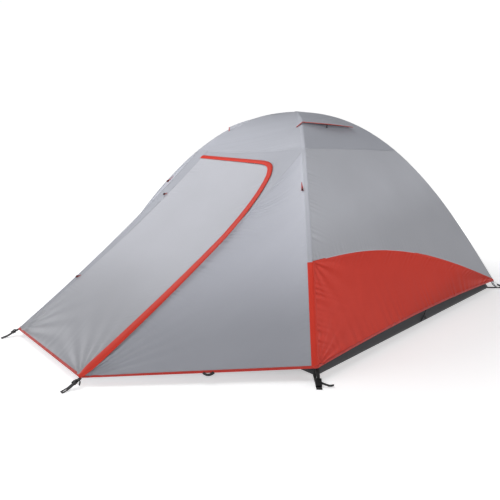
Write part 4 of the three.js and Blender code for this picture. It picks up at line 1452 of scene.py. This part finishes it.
def inner_door(name, quarter):
    """A net door in its opening, bound along its four edges."""
    y, t = np.meshgrid(np.linspace(-0.380, 0.380, 64), spread(56), indexing="xy")
    z = mix(0.200, 0.870, t)
    points = turned(inner_face(y / inner_reach(z), z), quarter)
    body = f"inner_{name}_door"
    cloth(
        f"inner_door_mesh_{name}", points, NET, body, [f"inner_door_{name}"],
        thick=0.0006,
    )
    for edge in ("left", "right", "top", "bottom"):
        edge_tape(
            f"inner_door_edge_{name}_{edge}", points, edge, 0.010, body, FLOOR_CLOTH, thick=0.0016,
            slot="inner_cloth",
        )


def pole_clips():
    """Clips on short webbing tabs hold the inner tent to the poles."""
    for quarter in range(4):
        for number, z in enumerate((0.30, 0.52, 0.74, 0.94, 1.10)):
            inner = inner_reach(z)
            start = xyz(inner, -inner, z)
            outer = POLE_CORNER * arch(z, POLE_PEAKS[quarter % 2])
            stop = xyz(outer, -outer, z)
            path = mix(start, stop, np.linspace(0, 0.9, 8)[:, None])
            side = unit(np.array([1.0, 1.0, 0]))
            band(
                f"clip_tab_{quarter + 1}_{number + 1}", turned(path, quarter), turned(side, quarter),
                np.array([0, 0, 1.0]), 0.016, 0.0012, WEBBING, "tent", "webbing",
            )
            turn = np.linspace(-2.3, 2.3, 14)[:, None]
            out = unit(np.array([1.0, -1.0, 0]))
            curl = stop + out * -0.0066 * np.cos(turn) + np.array([0, 0, 1.0]) * 0.0066 * np.sin(turn)
            tube(
                f"clip_hook_{quarter + 1}_{number + 1}", turned(curl, quarter), 0.0013, PLASTIC, "tent",
                8,
            )


# ---- Poles ----
POLE_CORNER = 1.098
POLE_PEAKS = (1.283, 1.272)
POLE_FOOT = 0.009


def pole_path(peak, count):
    """The arch from foot to foot as evenly parted points, in the plane of x = -y."""
    t = np.linspace(0, 1, 400)
    z = mix(POLE_FOOT, peak, 1 - (1 - t) ** 2)
    reach = POLE_CORNER * arch(z, peak)
    half = xyz(reach, -reach, z)
    whole = np.vstack([half, half[-2::-1] * np.array([-1, -1, 1])])
    return resampled(whole, count)


def pole(letter, peak, quarter):
    """One pole: eight tubes with a sleeve at each joint, a tip at each foot, and the elastic cord inside."""
    path = turned(pole_path(peak, 8 * 30 + 1), quarter)
    for i in range(8):
        run = path[i * 30 : i * 30 + 31]
        node = f"pole_{letter}_segment_{i + 1}"
        inset = 0.0005 * unit(run[1] - run[0])
        run = np.vstack([run[0] + inset, run[1:-1], run[-1] - inset])
        tube(f"pole_{letter}_tube_{i + 1}", run, 0.00475, METAL, "tent", 20, nodes=[node])
        if i:
            tube(
                f"pole_{letter}_sleeve_{i}", path[i * 30 - 2 : i * 30 + 3], 0.0053, METAL, "tent",
                20,
            )
    for number, foot in enumerate((path[0], path[-1])):
        down = np.array([0, 0, -1.0])
        tip = foot + down * np.array([-0.006, 0.0, 0.003, 0.0065, 0.0085])[:, None]
        tube(
            f"pole_{letter}_tip_{number + 1}", tip, [0.0046, 0.0046, 0.0034, 0.0030, 0.0022], METAL, "tent",
            20,
        )
    cord = path[8:-8:3]
    tube(
        f"pole_{letter}_cord", cord, 0.00125, ELASTIC, "tent", 10,
        nodes=[f"pole_{letter}_shock_cord"],
    )


# ---- Corners ----
DIAGONAL = POLE_CORNER * math.sqrt(2)


def corner(name, quarter):
    """One corner, worked out along +X and turned into place: the floor's anchor webbing with its eyelet, the
    strap up to the fly's hem with its tail, and the elastic loop from the fly's corner to the eyelet."""
    turn = -math.pi / 4 + quarter * math.pi / 2
    cosine, sine = math.cos(turn), math.sin(turn)

    def place(points):
        """Points along +X, turned to the corner."""
        x, y, z = np.moveaxis(np.asarray(points, float), -1, 0)
        return xyz(x * cosine - y * sine, x * sine + y * cosine, z)

    def lay(
        part, points, width, thick, up=None, side=None, count=30, material=WEBBING, nodes=(), body="tent"
    ):
        """A band on a smooth path through a few points, turned to the corner."""
        path = smooth_path(points, count)
        side = np.array([0, 1.0, 0]) if side is None else np.asarray(side, float)
        up = unit(np.cross(side, unit(np.gradient(path, axis=0)))) if up is None else np.asarray(up, float)
        side = np.broadcast_to(side, path.shape)
        band(
            f"{name}_{part}", place(path), place(side), place(np.broadcast_to(up, path.shape)), width,
            thick, material, body, "webbing", nodes=nodes,
        )

    lay("anchor_web", [(1.478, 0, 0.004), (1.500, 0, 0.0022), (1.540, 0, 0.0018)], 0.024, 0.0018)
    lay("anchor_end", [(1.564, 0, 0.0018), (1.590, 0, 0.0022), (1.612, 0, 0.0024)], 0.022, 0.0018)
    for number, y in enumerate((-0.0095, 0.0095)):
        lay(
            f"anchor_side_{number + 1}", [(1.538, y, 0.0018), (1.552, y, 0.0018), (1.566, y, 0.0018)],
            0.006, 0.0018, count=8,
        )
    ring = np.linspace(0, TAU, 32, endpoint=False)
    eyelet = xyz(DIAGONAL + 0.0078 * np.cos(ring), 0.0078 * np.sin(ring), 0.0030)
    tube(f"{name}_eyelet", place(eyelet), 0.0019, METAL, "tent", 10, closed=True)
    hem = np.array([CORNER * math.sqrt(2) * float(arch(CORNER_HEM_Z, PEAK)), 0, CORNER_HEM_Z])
    lay(
        "fly_strap",
        [
            tuple(hem + np.array([-0.014, 0, 0.010])), tuple(hem + np.array([0.004, 0, -0.012])),
            (1.566, 0.001, 0.026), (1.578, 0.001, 0.014),
        ],
        0.015, 0.0016,
    )
    lay(
        "strap_tail",
        [
            (1.576, 0.000, 0.013), (1.586, 0.012, 0.017), (1.590, 0.030, 0.012), (1.592, 0.048, 0.0075),
            (1.588, 0.066, 0.0085),
        ],
        0.013, 0.0018, side=unit(np.array([0.35, 0.0, 1.0])),
    )
    loop = [
        (1.500, -0.010, 0.052), (1.512, -0.012, 0.030), (1.536, -0.010, 0.012), (1.552, -0.004, 0.0075),
        (1.546, 0.008, 0.012), (1.520, 0.010, 0.032), (1.504, 0.008, 0.050),
    ]
    tube(f"{name}_corner_elastic", place(smooth_path(loop, 50)), 0.0019, WEBBING, "tent", 8)


def keep_hard_node(node, bevelled=True):
    """A moulded piece shown as it is in the frame, with its finish and, where asked, a fine bevel."""
    piece = bpy.data.objects[node]
    piece.data.materials.clear()
    piece.data.materials.append(PLASTIC)
    if not bevelled:
        return
    edge = piece.modifiers.new("edges", "BEVEL")
    edge.width = 0.0007
    edge.segments = 3
    edge.limit_method = "ANGLE"


# ---- The floor of the room, and the lights ----
FLOOR_GLOW = 0.40


def room_floor():
    """A pale, even floor that reaches past the view. A little of its own light keeps it white."""
    material, nodes, links, shader, groups = start_material("pale_floor", ("evenness",))
    shader.inputs["Roughness"].default_value = 0.9
    shader.inputs["Specular IOR Level"].default_value = 0.1
    shader.inputs["Emission Color"].default_value = (1.0, 1.0, 1.0, 1.0)
    place = nodes.new("ShaderNodeTexCoord")
    place.label = "place on the floor"
    place.location = (-700, 0)
    away = nodes.new("ShaderNodeVectorMath")
    away.label = "distance from the tent"
    away.location = (-450, -300)
    away.operation = "LENGTH"
    glow = nodes.new("ShaderNodeMapRange")
    glow.label = "whiter further away"
    glow.location = (-200, -300)
    glow.inputs["From Min"].default_value = 1.4
    glow.inputs["From Max"].default_value = 4.0
    glow.inputs["To Min"].default_value = FLOOR_GLOW
    glow.inputs["To Max"].default_value = 1.05
    links.new(place.outputs["Object"], away.inputs[0])
    links.new(away.outputs["Value"], glow.inputs["Value"])
    links.new(glow.outputs["Result"], shader.inputs["Emission Strength"])
    cloudy = nodes.new("ShaderNodeTexNoise")
    cloudy.label = "slight unevenness"
    cloudy.inputs["Scale"].default_value = 0.4
    tint = nodes.new("ShaderNodeValToRGB")
    tint.label = "near white"
    tint.color_ramp.elements[0].color = (0.90, 0.90, 0.91, 1.0)
    tint.color_ramp.elements[1].color = (0.94, 0.94, 0.94, 1.0)
    links.new(place.outputs["Object"], cloudy.inputs["Vector"])
    links.new(cloudy.outputs["Fac"], tint.inputs["Fac"])
    links.new(tint.outputs["Color"], shader.inputs["Base Color"])
    effects = {
        "evenness": (cloudy, tint),
    }
    lay_out(groups, effects)
    mesh = bpy.data.meshes.new("room_floor")
    reach = 60.0
    corners = [(-reach, -reach, 0), (reach, -reach, 0), (reach, reach, 0), (-reach, reach, 0)]
    mesh.from_pydata(corners, [], [(0, 1, 2, 3)])
    mesh.materials.append(material)
    ground = bpy.data.objects.new("room_floor", mesh)
    bpy.context.scene.collection.objects.link(ground)


LIGHTS = (
    ("key_above", (-0.8, -1.8, 3.4), (0.0, -0.6, 0.6), 2.4, 60.0),
    ("front_left", (-3.6, -3.6, 1.9), (0.0, -0.6, 0.6), 2.0, 56.0),
    ("camera_side", (3.2, -4.2, 2.0), (0.0, -0.3, 0.6), 2.4, 41.0),
    ("right_end", (4.2, 1.2, 2.4), (0.3, 0.0, 0.5), 2.4, 42.0),
    ("behind", (-2.2, 4.2, 1.3), (0.0, 0.9, 0.4), 2.0, 50.0),
)

# ---- The whole tent ----
make_camera()
make_world()
for light in LIGHTS:
    make_light(*light)
room_floor()
scene = bpy.context.scene
scene.view_settings.view_transform = "Standard"

fly_roof()
for name, quarters, way in (("right", 0, 1), ("left", 2, -1)):
    fly_end(name, quarters)
    vent_hood(name, quarters, way)
    vent_prop(name, quarters)
    hem_elastic(name, quarters)
for name, quarters in (("front", 0), ("back", 2)):
    porch(name, quarters)
    zip_slider(name, quarters)
    for side in (1, -1):
        stake_strap(name, side, quarters)
        mid_hem_loop(name, quarters, side)
for corner_name, quarters, flip in (
    ("front_right", 0, False),
    ("back_left", 2, False),
    ("front_left", 0, True),
    ("back_right", 2, True),
):
    leg_seam(corner_name, quarters, flip)
    leg_tab(corner_name, quarters, flip)
hinge_tabs("front", 0)
hinge_tabs("back", 2)

floor_tub()
for quarter, (name, with_door) in enumerate(
    (("right", False), ("back", True), ("left", False), ("front", True))
):
    inner_wall(name, quarter, with_door)
inner_roof()
inner_door("front", 3)
inner_door("back", 1)
pole("a", POLE_PEAKS[0], 0)
pole("b", POLE_PEAKS[1], 1)
pole_clips()
for number, name in enumerate(("front_right", "back_right", "back_left", "front_left")):
    corner(name, number)
    keep_hard_node(f"corner_anchor_{name}", bevelled=False)
    keep_hard_node(f"buckle_plug_{name}")
keep_hard_node("crossing_hook")
